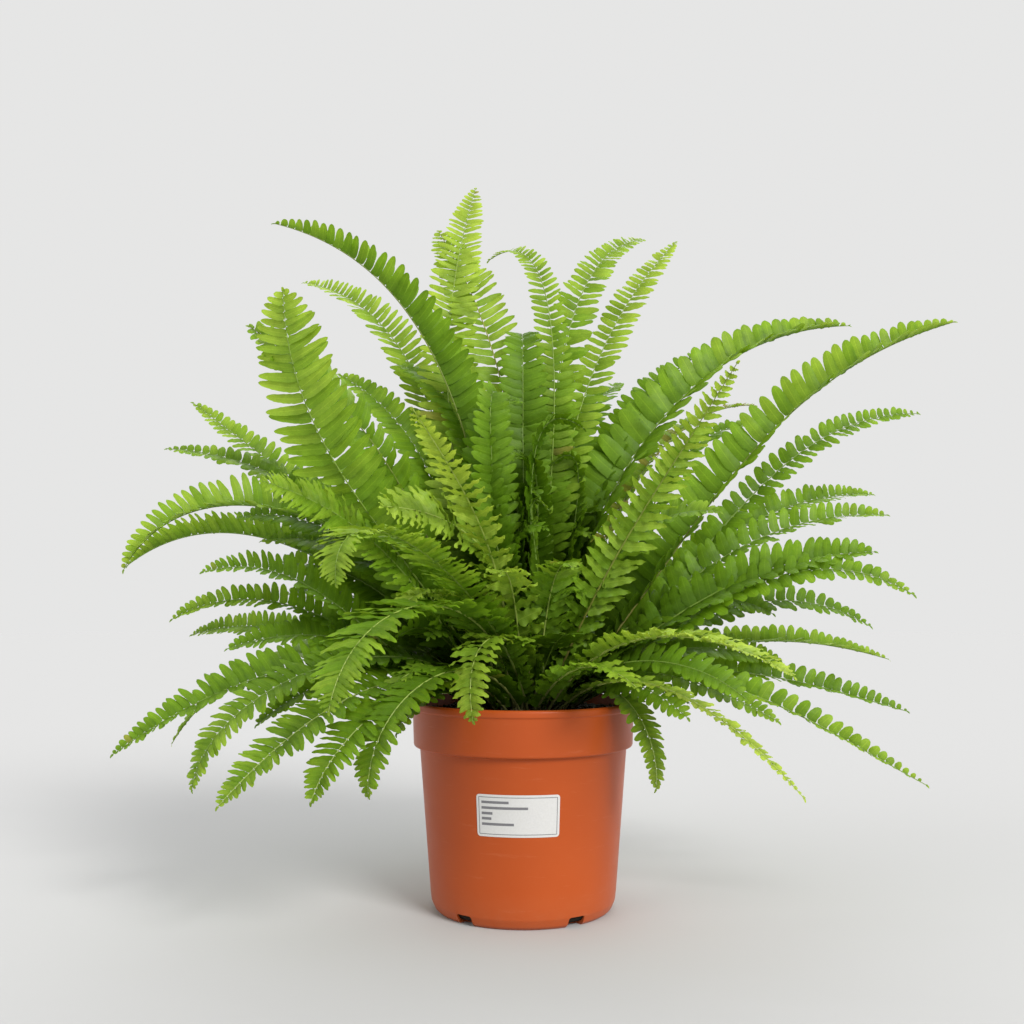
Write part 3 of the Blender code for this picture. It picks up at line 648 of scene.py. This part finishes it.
# Leaf: its midline and slanting side veins, how much they show and how deep they lie, and its own clouding.
MIDLINE_HALF, MIDLINE_SHOWS = 0.035, 0.55
VEINS, VEIN_SLANT, VEIN_HALF, VEIN_SHOWS, VEIN_DEPTH = 12.0, 5.0, 0.08, 0.18, -0.4
VEIN_TINT, GROOVE_DEPTH, GROOVE_STRENGTH = (1.5, 1.35, 1.7), 0.15 * MM, 0.6
MOTTLE = Clouds(60.0, 3.0, (0.32, (0.80, 0.80, 0.72)), (0.68, (1.16, 1.14, 1.10)))
LEAF_GRAIN = Clouds(900.0, 2.0, (0.3, (0.92, 0.93, 0.90)), (0.7, (1.07, 1.06, 1.05)))
# Painted shade along each leaflet: darker at its foot by the midrib, lighter towards its tip.
LEAFLET_PAINTED_SHADE = (0.0, (0.66, 0.70, 0.66)), (0.75, (1.12, 1.08, 1.10))
LEAF_POLISH, LEAF_SHINE = Polish(220.0, 3.0, 0.20, 0.36), 0.22
THROUGH_TINT, THROUGH_SHARE = (1.25, 1.15, 0.70), 0.38


def leaf_material():
    """Leaf: its own colour with painted shade towards each leaflet's foot, a pale midline, faint side veins,
    and light that comes through it.
    """
    nodes = Nodes("fern leaf")
    place = nodes.add("ShaderNodeUVMap", {"uv_map": "leaf"}).outputs["UV"]
    split = nodes.add("ShaderNodeSeparateXYZ", Vector=place).outputs
    along, across = split["X"], split["Y"]
    off_middle = nodes.math("ABSOLUTE", nodes.math("SUBTRACT", across, 0.5))
    middle = nodes.math("LESS_THAN", off_middle, MIDLINE_HALF)
    slant = nodes.product(off_middle, VEIN_SLANT)
    slant = nodes.math("SUBTRACT", nodes.product(along, VEINS), slant)
    vein = nodes.math("LESS_THAN", nodes.math("PINGPONG", slant, 0.5), VEIN_HALF)
    colour = nodes.times(nodes.tone(), nodes.clouds(MOTTLE))
    # Painted shade: each leaflet darker at its foot, lighter at its tip.
    colour = nodes.times(colour, nodes.ramp(along, *LEAFLET_PAINTED_SHADE))
    colour = nodes.times(colour, nodes.clouds(LEAF_GRAIN))
    lighter = nodes.times(colour, VEIN_TINT)
    colour = nodes.mix(nodes.product(vein, VEIN_SHOWS), colour, lighter)
    colour = nodes.mix(nodes.product(middle, MIDLINE_SHOWS), colour, lighter)
    groove = nodes.math("SUBTRACT", nodes.product(vein, VEIN_DEPTH), middle)
    nodes.shade(Base_Color=colour, Roughness=nodes.polish(LEAF_POLISH), Specular_IOR_Level=LEAF_SHINE)
    nodes.shade(Normal=nodes.bump(groove, GROOVE_DEPTH, GROOVE_STRENGTH))
    clear = nodes.add("ShaderNodeBsdfTranslucent", Color=nodes.times(colour, THROUGH_TINT)).outputs[0]
    both = nodes.add("ShaderNodeMixShader", i0=THROUGH_SHARE, i1=nodes.shader.outputs[0], i2=clear)
    nodes.put(both.outputs[0], nodes.output.inputs["Surface"])
    return nodes.material


RIB_CLOUDS = Clouds(300.0, 3.0, (0.3, (0.78, 0.76, 0.74)), (0.7, (1.15, 1.12, 1.05)))
RIB_RELIEF, RIB_ROUGHNESS = Relief(1500.0, 2.0, 0.1 * MM, 0.5), 0.45
CRUMB_CLOUDS = Clouds(900.0, 3.0, (0.3, (0.6, 0.6, 0.6)), (0.7, (1.3, 1.3, 1.3)))
CRUMB_RELIEF, CRUMB_ROUGHNESS = Relief(1400.0, 3.0, 0.3 * MM, 1.0), 0.9
PAPER_CLOUDS = Clouds(700.0, 4.0, (0.3, (0.96, 0.96, 0.955)), (0.7, (1.03, 1.03, 1.03)))
PAPER_RELIEF, PAPER_ROUGHNESS = Relief(700.0, 4.0, 0.03 * MM, 0.4), 0.42
PAPER_WHITE, PRINT_GREY = (0.62, 0.616, 0.612), (0.17, 0.17, 0.183)


def plain_material(name, clouds, relief, roughness, colour=None):
    """A clouded colour, or where none is given the mesh's own tones, with a fine relief."""
    nodes = Nodes(name)
    shade = nodes.times(colour or nodes.tone(), nodes.clouds(clouds))
    nodes.shade(Base_Color=shade, Roughness=roughness, Normal=nodes.relief(relief))
    return nodes.material


def paper_material(name, colour):
    return plain_material(name, PAPER_CLOUDS, PAPER_RELIEF, PAPER_ROUGHNESS, colour)


# The pot: its clouding, its scuffs, drawn out sideways, the dust low down on it, and its grain.
POT_CLOUDS = Clouds(9.0, 4.0, (0.25, (0.405, 0.066, 0.010)), (0.75, (0.470, 0.084, 0.015)))
SCUFF_SCALE, SCUFF_DETAIL, SCUFF_BREAKUP, SCUFF_STOPS = (30.0, 30.0, 260.0), 5.0, 0.7, (0.60, 0.74)
SCUFF_COLOUR, SCUFF_SHOWS, SCUFF_ROUGHNESS = (0.66, 0.27, 0.15), 0.16, 0.12
DUST_COLOUR, DUST_SHOWS, DUST_TOP, DUST_NOISE = (0.38, 0.19, 0.11), 0.22, 30 * MM, (140.0, 4.0)
FINE_GRAIN, BROAD_GRAIN, BROAD_SHARE = (1600.0, 2.0), (45.0, 3.0), 2.0
GRAIN_DEPTH, GRAIN_STRENGTH = 0.05 * MM, 0.5
POT_POLISH, POT_SHINE = Polish(60.0, 4.0, 0.16, 0.30), 0.25


def pot_material():
    """Moulded terracotta-coloured plastic: faint clouding, fine grain, scuffs and settled dust."""
    nodes = Nodes("terracotta plastic")
    stretched = nodes.add("ShaderNodeMapping", Vector=nodes.place(), Scale=SCUFF_SCALE).outputs[0]
    scuffs = nodes.noise(1.0, SCUFF_DETAIL, stretched, SCUFF_BREAKUP)
    scuffed = nodes.ramp(scuffs, *zip(SCUFF_STOPS, (BLACK, WHITE)))
    height = nodes.add("ShaderNodeSeparateXYZ", Vector=nodes.place()).outputs["Z"]
    low = nodes.add("ShaderNodeMapRange", Value=height, i1=0.0, i2=DUST_TOP, i3=1.0, i4=0.0).outputs[0]
    dust = nodes.product(nodes.product(low, nodes.noise(*DUST_NOISE)), DUST_SHOWS)
    colour = nodes.mix(nodes.product(scuffed, SCUFF_SHOWS), nodes.clouds(POT_CLOUDS), SCUFF_COLOUR)
    rougher = nodes.product(scuffed, SCUFF_ROUGHNESS)
    grain = nodes.math("MULTIPLY_ADD", nodes.noise(*BROAD_GRAIN), BROAD_SHARE, nodes.noise(*FINE_GRAIN))
    nodes.shade(
        Base_Color=nodes.mix(dust, colour, DUST_COLOUR), Specular_IOR_Level=POT_SHINE,
        Roughness=nodes.math("ADD", nodes.polish(POT_POLISH), rougher),
        Normal=nodes.bump(grain, GRAIN_DEPTH, GRAIN_STRENGTH),
    )
    return nodes.material


SOIL_SCALE, SOIL_DETAIL, SOIL_BREAKUP = 420.0, 5.0, 0.65
SOIL_STOPS = (0.25, (0.006, 0.005, 0.004)), (0.55, (0.022, 0.016, 0.010)), (0.85, (0.060, 0.040, 0.022))
SOIL_RELIEF, SOIL_ROUGHNESS, SOIL_SHINE = Relief(700.0, 4.0, 0.8 * MM, 1.0), 0.92, 0.2


def soil_material():
    nodes = Nodes("potting compost")
    colour = nodes.ramp(nodes.noise(SOIL_SCALE, SOIL_DETAIL, breakup=SOIL_BREAKUP), *SOIL_STOPS)
    nodes.shade(Base_Color=colour, Roughness=SOIL_ROUGHNESS, Specular_IOR_Level=SOIL_SHINE)
    nodes.shade(Normal=nodes.relief(SOIL_RELIEF))
    return nodes.material


def rounded(profile):
    """A profile with each corner cut back a little and rounded."""
    made = [profile[0]]
    for before, corner, after in zip(profile, profile[1:], profile[2:]):
        ends = []
        for other in (before, after):
            span = math.hypot(other[0] - corner[0], other[1] - corner[1])
            ends.append(mixed(corner, other, min(CORNER_ROUND, CORNER_SHARE * span) / span))
        for step in range(CORNER_STEPS + 1):
            share = step / CORNER_STEPS
            one, two = mixed(ends[0], corner, share), mixed(corner, ends[1], share)
            made.append(mixed(one, two, share))
    return made + [profile[-1]]


def lathe(name, profile, turns):
    """A round closed mesh from a profile that starts and ends on the axis."""
    shape = bmesh.new()
    rings = []
    for radius, height in profile:
        angles = [360 * at / turns for at in range(turns)] if radius else [0]
        rings.append([shape.verts.new(on_circle(radius * MM, angle, height * MM)) for angle in angles])
    skin(shape, rings, turns)
    return closed(shape, name)


def notch_cutter():
    """Arched blocks, one for each drain notch round the pot's foot."""
    shape = bmesh.new()
    size = Matrix.Diagonal((NOTCH_OUTER - NOTCH_INNER, NOTCH_WIDTH, 2 * NOTCH_HEIGHT, 1.0))
    for at in range(NOTCHES):
        turn = FIRST_NOTCH + 360 * at / NOTCHES
        place = Matrix.Translation(on_circle((NOTCH_INNER + NOTCH_OUTER) / 2, turn))
        place = place @ Matrix.Rotation(math.radians(turn), 4, "Z") @ size
        made = bmesh.ops.create_cube(shape, size=1.0, matrix=place)
        upper = [v for v in made["verts"] if v.co.z > 0]
        edges = [e for e in shape.edges if all(v in upper for v in e.verts)]
        outward = on_circle(1, turn)
        radial = [e for e in edges if abs((e.verts[1].co - e.verts[0].co).dot(outward)) > NOTCH_SIDE_LEAST]
        bmesh.ops.bevel(
            shape, geom=radial, offset=NOTCH_ROUND, segments=NOTCH_STEPS, profile=0.5, affect="EDGES",
        )
    return put_in_scene("notch_cutter", finished(shape, "notch_cutter"))


def make_pot():
    mesh = lathe("nursery_pot", rounded([*POT_INSIDE, *POT_OUTSIDE]), POT_TURNS)
    pot = put_in_scene("nursery_pot", mesh, pot_material())
    tool = notch_cutter()
    cut = pot.modifiers.new("cut", "BOOLEAN")
    cut.operation, cut.object = "DIFFERENCE", tool
    graph = bpy.context.evaluated_depsgraph_get()
    mesh = bpy.data.meshes.new_from_object(pot.evaluated_get(graph))
    pot.modifiers.clear()
    pot.data = mesh
    bpy.data.objects.remove(tool)
    smooth(mesh)
    mesh.set_sharp_from_angle(angle=math.radians(SMOOTH_BELOW))
    declare(pot, "pot", "pot")


def wall_radius(height):
    share = (height / MM - WALL_FOOT[1]) / (WALL_TOP[1] - WALL_FOOT[1])
    return (WALL_FOOT[0] + (WALL_TOP[0] - WALL_FOOT[0]) * share) * MM


def on_label(along, rise, lift):
    """A point off the pot's wall, at a distance along and up from the label's middle."""
    turn = LABEL_TURN + math.degrees(along / wall_radius(LABEL_MIDDLE))
    height = LABEL_MIDDLE + rise
    return on_circle(wall_radius(height) + lift, turn, height)


def label_half(along):
    """Half the label's height at a distance along it, less at its rounded corners."""
    into = max(0.0, abs(along) - (LABEL_WIDTH / 2 - LABEL_CORNER))
    return LABEL_HEIGHT / 2 - LABEL_CORNER + math.sqrt(max(0.0, LABEL_CORNER**2 - into**2))


LABEL_COLUMNS, LABEL_ROWS = 56, 10


def label_layer(shape, lift):
    """A grid of points over the label, in columns, at a height over the pot's wall."""
    grid = []
    for at in range(LABEL_COLUMNS + 1):
        along = -LABEL_WIDTH / 2 * math.cos(math.pi * at / LABEL_COLUMNS)
        half = label_half(along)
        heights = [half * (2 * row / LABEL_ROWS - 1) for row in range(LABEL_ROWS + 1)]
        grid.append([shape.verts.new(on_label(along, rise, lift)) for rise in heights])
    return grid


def make_label():
    """The label: a thin closed sheet that follows the pot's wall."""
    shape = bmesh.new()
    back, front = label_layer(shape, LABEL_LIFT - LABEL_THICK), label_layer(shape, LABEL_LIFT)
    for at in range(LABEL_COLUMNS):
        for row in range(LABEL_ROWS):
            for grid in (back, front):
                shape.faces.new((grid[at][row], grid[at + 1][row], grid[at + 1][row + 1], grid[at][row + 1]))
        for row in (0, LABEL_ROWS):
            shape.faces.new((back[at][row], back[at + 1][row], front[at + 1][row], front[at][row]))
    for at in (0, LABEL_COLUMNS):
        for row in range(LABEL_ROWS):
            shape.faces.new((back[at][row], back[at][row + 1], front[at][row + 1], front[at][row]))
    mesh = closed(shape, "plain_label")
    label = put_in_scene("plain_label", mesh, paper_material("label paper", PAPER_WHITE))
    declare(label, "label", "label")


# The print: a border, and bars, each by its left end, its height and its length in millimetres.
INK_LIFT, INK_STEP = LABEL_LIFT + 0.08 * MM, 2 * MM
BORDER_INSET, BORDER_WIDTH, BAR_HEIGHT = 2.1 * MM, 0.5 * MM, 2.0 * MM
INK_BARS = (
    (-29.0, 10.5, 22.0), (-29.0, 6.1, 37.0), (-29.0, 1.8, 9.0), (-29.0, -2.3, 8.0), (-29.0, -6.6, 26.0),
)


def add_ribbon(shape, rows):
    for one, two in zip(rows, rows[1:]):
        shape.faces.new((one[0], two[0], two[1], one[1]))


def add_strip(shape, start, end, width):
    """A thin printed strip on the label from one point to another, each a distance along and up."""
    start, end = Vector(start), Vector(end)
    across = Vector((start.y - end.y, end.x - start.x)).normalized() * width / 2
    steps = max(1, round((end - start).length / INK_STEP))
    rows = []
    for step in range(steps + 1):
        middle = start.lerp(end, step / steps)
        rows.append([shape.verts.new(on_label(*(middle + across * side), INK_LIFT)) for side in (-1, 1)])
    add_ribbon(shape, rows)


def make_print():
    """The label's thin border and five plain grey bars in the place of its lines."""
    shape = bmesh.new()
    wide, high = LABEL_WIDTH / 2 - BORDER_INSET, LABEL_HEIGHT / 2 - BORDER_INSET
    corners = [(-wide, -high), (wide, -high), (wide, high), (-wide, high)]
    for start, end in zip(corners, corners[1:] + corners[:1]):
        add_strip(shape, start, end, BORDER_WIDTH)
    for left, rise, length in INK_BARS:
        add_strip(shape, (left * MM, rise * MM), ((left + length) * MM, rise * MM), BAR_HEIGHT)
    mesh = closed(shape, "label_rules")
    declare(put_in_scene("label_rules", mesh, paper_material("grey print", PRINT_GREY)), "label")


SOIL_RINGS, SOIL_TURNS = 60, 180
SOIL_SIDE = ((90.6, 138.4), (85.7, 137.0), (85.3, 133.0), (75.7, 15.0), (73.9, 6.3), (70.6, 2.9))
# Its surface: the fineness of lumps and grain and their heights in millimetres, and its mound.
LUMPS, LUMP_HEIGHT, GRAINS, GRAIN_HEIGHT, OCTAVES = 60, 1.5, 420, 0.9, (1.0, 2.0, 3)
MOUND_HEIGHT, MOUND_RADIUS, SETTLED = 4.0 * MM, 45 * MM, 1.2 * MM


def soil_height(x, y):
    """Height of the compost: lumps, grain, and a slight mound in the middle."""
    place = Vector((x, y, 0.0))
    lumps = noise.fractal(place * LUMPS, *OCTAVES) * LUMP_HEIGHT * MM
    grain = noise.fractal(place * GRAINS, *OCTAVES) * GRAIN_HEIGHT * MM
    mound = MOUND_HEIGHT * math.exp(-((x * x + y * y) / MOUND_RADIUS**2))
    return SOIL_TOP + lumps + grain + mound - SETTLED


def make_soil():
    """The compost: its rough surface, and its side and underside within the pot."""
    shape = bmesh.new()
    rings = [[shape.verts.new((0, 0, soil_height(0, 0)))]]
    turns = [360 * at / SOIL_TURNS for at in range(SOIL_TURNS)]
    for ring in range(1, SOIL_RINGS + 1):
        flat = [on_circle(SOIL_RADIUS * ring / SOIL_RINGS, turn) for turn in turns]
        rings.append([shape.verts.new((p.x, p.y, soil_height(p.x, p.y))) for p in flat])
    for radius, height in SOIL_SIDE:
        rings.append([shape.verts.new(on_circle(radius * MM, turn, height * MM)) for turn in turns])
    rings.append([shape.verts.new((0, 0, SOIL_SIDE[-1][1] * MM))])
    skin(shape, rings, SOIL_TURNS)
    mesh = closed(shape, "compost")
    smooth(mesh)
    declare(put_in_scene("compost", mesh, soil_material()), "soil", "soil")


# Crumbs and fibres on the compost: how many, how near its edge, and sizes in millimetres.
CRUMBS, FIBRES = 1500, 260
CRUMB_REACH, FIBRE_REACH, FIBRE_LIMIT = 0.97, 0.92, 0.95
CRUMB_TONES = ((0.012, 0.009, 0.007), (0.030, 0.020, 0.012), (0.065, 0.042, 0.022), (0.100, 0.070, 0.040))
WHITE_GRAIN, WHITE_SHARE = (0.62, 0.60, 0.56), 0.045
CRUMB_SIZE, WHITE_SIZE, CRUMB_RISE = (0.6, 2.4), (0.5, 1.1), 0.3
CRUMB_STRETCH, CRUMB_ROUGH = ((0.6, 1.5), (0.6, 1.3), (0.4, 0.9)), (0.8, 1.2)
FIBRE_STEPS, FIBRE_STEP, FIBRE_RISE, FIBRE_HALF, FIBRE_TURN = 6, (1.2, 2.6), (0.3, 1.4), 0.16 * MM, (-25, 25)


def on_compost(reach, chance):
    return on_circle(SOIL_RADIUS * reach * math.sqrt(chance.random()), chance.uniform(0, 360))


def add_crumb(shape, layer, chance):
    flat = on_compost(CRUMB_REACH, chance)
    white = chance.random() < WHITE_SHARE
    size = chance.uniform(*(WHITE_SIZE if white else CRUMB_SIZE)) * MM
    middle = Vector((flat.x, flat.y, soil_height(flat.x, flat.y) + size * CRUMB_RISE))
    made = bmesh.ops.create_icosphere(shape, subdivisions=1, radius=size, matrix=Matrix.Translation(middle))
    stretch = Vector([chance.uniform(*ends) for ends in CRUMB_STRETCH])
    colour = WHITE_GRAIN if white else mixed(*chance.sample(CRUMB_TONES, 2), chance.random())
    for vert in made["verts"]:
        vert.co = middle + (vert.co - middle) * stretch * chance.uniform(*CRUMB_ROUGH)
        vert[layer] = (*colour, 1.0)


def add_fibre(shape, layer, chance):
    """A thin root or strand of peat that lies on the compost."""
    place = on_compost(FIBRE_REACH, chance)
    heading, turn = chance.uniform(0, 360), chance.uniform(*FIBRE_TURN)
    colour = mixed(CRUMB_TONES[1], CRUMB_TONES[3], chance.random())
    rows = []
    for _ in range(FIBRE_STEPS):
        place = place + on_circle(chance.uniform(*FIBRE_STEP) * MM, heading)
        heading += turn
        if place.length > SOIL_RADIUS * FIBRE_LIMIT:
            break
        across = on_circle(FIBRE_HALF, heading + 90)
        height = soil_height(place.x, place.y) + chance.uniform(*FIBRE_RISE) * MM
        row = [Vector((place.x, place.y, height)) + across * side for side in (-1, 1)]
        rows.append([shape.verts.new(point) for point in row])
    for row in rows:
        for vert in row:
            vert[layer] = (*colour, 1.0)
    add_ribbon(shape, rows)


def make_crumbs():
    chance = random.Random(CRUMB_SEED)
    shape = bmesh.new()
    layer = shape.verts.layers.float_color.new("tone")
    for _ in range(CRUMBS):
        add_crumb(shape, layer, chance)
    for _ in range(FIBRES):
        add_fibre(shape, layer, chance)
    material = plain_material("compost crumbs", CRUMB_CLOUDS, CRUMB_RELIEF, CRUMB_ROUGHNESS)
    declare(put_in_scene("compost_crumbs", finished(shape, "compost_crumbs"), material), "soil")


def add_frond(name, materials, fern, *nodes):
    declare(fern.surface.build(name, materials), "foliage", *nodes)


def make_fronds(materials):
    chance = random.Random(FROND_SEED)
    for number, (frond, seat) in enumerate(zip(FRONDS, seats()), 1):
        look = LOOKS.get(number, Look(chance.uniform(*PLAIN_TONES)))
        fern = Fern(Midrib(frond, seat), look, chance, SPACINGS.get(number, USUAL), LIFTS.get(number, 0))
        add_frond(f"fern_frond_{number:02d}", materials, fern, f"frond_{number:02d}")


# Inner fronds behind and between the outer ones, which no solid stands for.
INNER_FRONDS = [Frond(*row) for row in (
    (165, 172, 462, 72, -30, 28, 15, -40, 4.2), (150, 120, 430, 80, -30, 28, 15, -20, 4.2),
    (172, 235, 310, 54, 10, 27, 20, -30, 4.0), (-175, 250, 217, 40, 20, 26, 20, -30, 4.0),
    (170, 215, 262, 46, 20, 27, 20, -30, 4.0), (30, 205, 495, 80, -26, 30, 30, 10, 3.6),
    (50, 150, 466, 82, -20, 30, 20, 10, 4.0), (-30, 150, 165, 52, 40, 22, 15, 30, 4.0, 0, 1.1),
    (-142, 128, 153, 60, 70, 22, 15, 0, 4.0), (-165, 150, 200, 50, 30, 25, 15, -30, 4.0),
    (-145, 135, 165, 50, 50, 24, 15, -20, 4.0), (12, 240, 200, 42, 20, 24, 20, 40, 4.0),
    (160, 205, 330, 60, 10, 27, 15, -30, 4.0), (-160, 225, 160, 44, 40, 25, 15, -20, 4.0),
    (95, 60, 450, 88, 0, 27, 15, 0, 4.0), (140, 90, 420, 84, 10, 27, 15, -20, 4.0),
    (-20, 170, 330, 66, 10, 28, 15, 30, 4.0), (20, 230, 270, 50, 20, 27, 20, 40, 4.0),
    (-5, 212, 246, 48, 30, 26, 20, 40, 4.0), (16, 228, 418, 58, 0, 22, 25, 30, 4.0),
    (162, 190, 380, 66, 0, 28, 15, -40, 4.0), (155, 230, 350, 62, 0, 28, 15, -35, 4.0),
    (172, 180, 290, 56, 20, 28, 15, -35, 4.0), (150, 170, 250, 54, 20, 27, 15, -30, 4.0),
    (165, 140, 340, 72, 0, 28, 15, -40, 4.0), (140, 150, 300, 66, 10, 28, 15, -30, 4.0),
    (178, 215, 225, 44, 24, 26, 20, -30, 4.0), (35, 120, 400, 80, -10, 29, 20, 20, 4.0),
    (75, 90, 480, 86, -10, 28, 20, 0, 4.0), (166, 238, 288, 50, 10, 27, 20, -40, 4.0),
    (176, 250, 330, 54, 10, 27, 20, -40, 4.0), (90, 62, 500, 88, 0, 26, 20, 0, 5.0),
    (-26, 195, 180, 50, 40, 24, 15, 30, 4.0), (-20, 215, 162, 42, 30, 22, 20, 30, 3.4),
    (160, 120, 470, 80, -20, 30, 20, -30, 4.2),
)]

INNER_TONES, INNER_CRISP = (0.30, 0.48), 0.1
# The inner and the young fronds leave the compost anywhere between these two circles.
INNER_RINGS = (6 * MM, 40 * MM)


def make_inner_fronds(materials):
    chance = random.Random(INNER_SEED)
    for at, frond in enumerate(INNER_FRONDS, 1):
        seat = on_circle(chance.uniform(*INNER_RINGS), frond.direction, SOIL_TOP)
        look = Look(chance.uniform(*INNER_TONES), INNER_CRISP)
        fern = Fern(Midrib(frond, seat), look, chance, rows=COARSE_ROWS)
        add_frond(f"inner_frond_{at:02d}", materials, fern)


# Young fronds in the plant's middle and round its foot.
YOUNG_FRONDS, GOLDEN_TURN, YOUNG_TURN, SEAT_TURN = 50, 137.508, (-12, 12), (-50, 50)
# Reach, height and launch: in the middle, the change from there to the foot, and what is drawn on top.
YOUNG_COURSES = ((30, 105, (-12, 18)), (395, -205, (-35, 35)), (84, -22, (-6, 6)))
# Width, fall, roll and fold.
YOUNG_FORM = ((20, 27), (0, 55), (-40, 40), (5, 30))
YOUNG_TAPER, YOUNG_TONES, YOUNG_CRISP = 4.0, (0.08, 0.50), (0.2, 0.7)
# Those towards the front stay shorter and higher, clear of the pot's rim.
FRONT, FRONT_HALF, FRONT_REACH, FRONT_RISE = 270, 48, 0.6, 25


def young_frond(at, chance):
    """A short frond with a lean of its own, the lower ones further out."""
    direction = (at * GOLDEN_TURN + chance.uniform(*YOUNG_TURN)) % 360
    low = at / YOUNG_FRONDS
    reach, height, launch = (
        start + change * low + chance.uniform(*ends) for start, change, ends in YOUNG_COURSES
    )
    if abs(direction - FRONT) < FRONT_HALF:
        reach, height = FRONT_REACH * reach, height + FRONT_RISE
    width, fall, roll, fold = (chance.uniform(*ends) for ends in YOUNG_FORM)
    return Frond(direction, reach, height, launch, fall, width, fold, roll, YOUNG_TAPER)


def make_young_fronds(materials):
    chance = random.Random(YOUNG_SEED)
    for at in range(YOUNG_FRONDS):
        frond = young_frond(at, chance)
        ring = chance.uniform(*INNER_RINGS)
        seat = on_circle(ring, frond.direction + chance.uniform(*SEAT_TURN), SOIL_TOP)
        look = Look(chance.uniform(*YOUNG_TONES), chance.uniform(*YOUNG_CRISP))
        fern = Fern(Midrib(frond, seat), look, chance, rows=COARSE_ROWS)
        add_frond(f"young_frond_{at + 1:02d}", materials, fern)


AIM = Vector((0, 0, 0.30))
# Each light, broad and soft: the side it comes from, its spread in degrees, strength and colour.
LIGHTS = (
    ((1.1, -1.6, 1.6), 24.0, 2.6, (1.0, 0.985, 0.96)),
    ((-1.6, -1.0, 1.5), 40.0, 0.35, (0.96, 0.98, 1.0)),
    ((0.2, 1.5, 1.9), 40.0, 0.9, (1.0, 1.0, 1.0)),
)
WORLD_COLOUR, WORLD_STRENGTH = (0.79, 0.79, 0.785, 1.0), 1.0
# As bright under these lights as the wall of light round it, so that no horizon shows.
FLOOR_COLOUR, FLOOR_ROUGHNESS = (0.522, 0.523, 0.525, 1.0), 0.9
FLOOR_RADIUS, FLOOR_SIDES = 7.0, 96
FOCAL_PIXELS, FRAME_PIXELS, SENSOR = 1190.0, 1024.0, 36.0
CAMERA_PLACE, CAMERA_PITCH = (-0.0095, -1.025, 0.2665), 93.75


def make_floor():
    shape = bmesh.new()
    bmesh.ops.create_circle(shape, cap_ends=True, segments=FLOOR_SIDES, radius=FLOOR_RADIUS)
    nodes = Nodes("pale floor")
    nodes.shade(Base_Color=FLOOR_COLOUR, Roughness=FLOOR_ROUGHNESS, Specular_IOR_Level=0.0)
    put_in_scene("floor", finished(shape, "floor"), nodes.material)


def make_lights():
    for at, (place, spread, strength, colour) in enumerate(LIGHTS):
        light = bpy.data.lights.new(f"softbox_{at}", "SUN")
        light.angle, light.energy, light.color = math.radians(spread), strength, colour
        lamp = put_in_scene(f"softbox_{at}", light)
        lamp.location = place
        lamp.rotation_euler = (AIM - Vector(place)).to_track_quat("-Z", "Y").to_euler()
    world = bpy.data.worlds.new("studio")
    world.use_nodes = True
    background = world.node_tree.nodes["Background"]
    background.inputs["Color"].default_value = WORLD_COLOUR
    background.inputs["Strength"].default_value = WORLD_STRENGTH
    bpy.context.scene.world = world


def make_camera():
    data = bpy.data.cameras.new("camera")
    data.sensor_width = SENSOR
    data.lens = FOCAL_PIXELS / FRAME_PIXELS * SENSOR
    camera = put_in_scene("camera", data)
    camera.location = CAMERA_PLACE
    camera.rotation_euler = (math.radians(CAMERA_PITCH), 0, 0)
    bpy.context.scene.camera = camera
    bpy.context.scene.view_settings.view_transform = "Standard"


make_camera()
make_lights()
make_floor()
make_pot()
make_label()
make_print()
make_soil()
make_crumbs()
rib_material = plain_material("fern midrib", RIB_CLOUDS, RIB_RELIEF, RIB_ROUGHNESS)
frond_materials = (leaf_material(), rib_material)
make_fronds(frond_materials)
make_inner_fronds(frond_materials)
make_young_fronds(frond_materials)
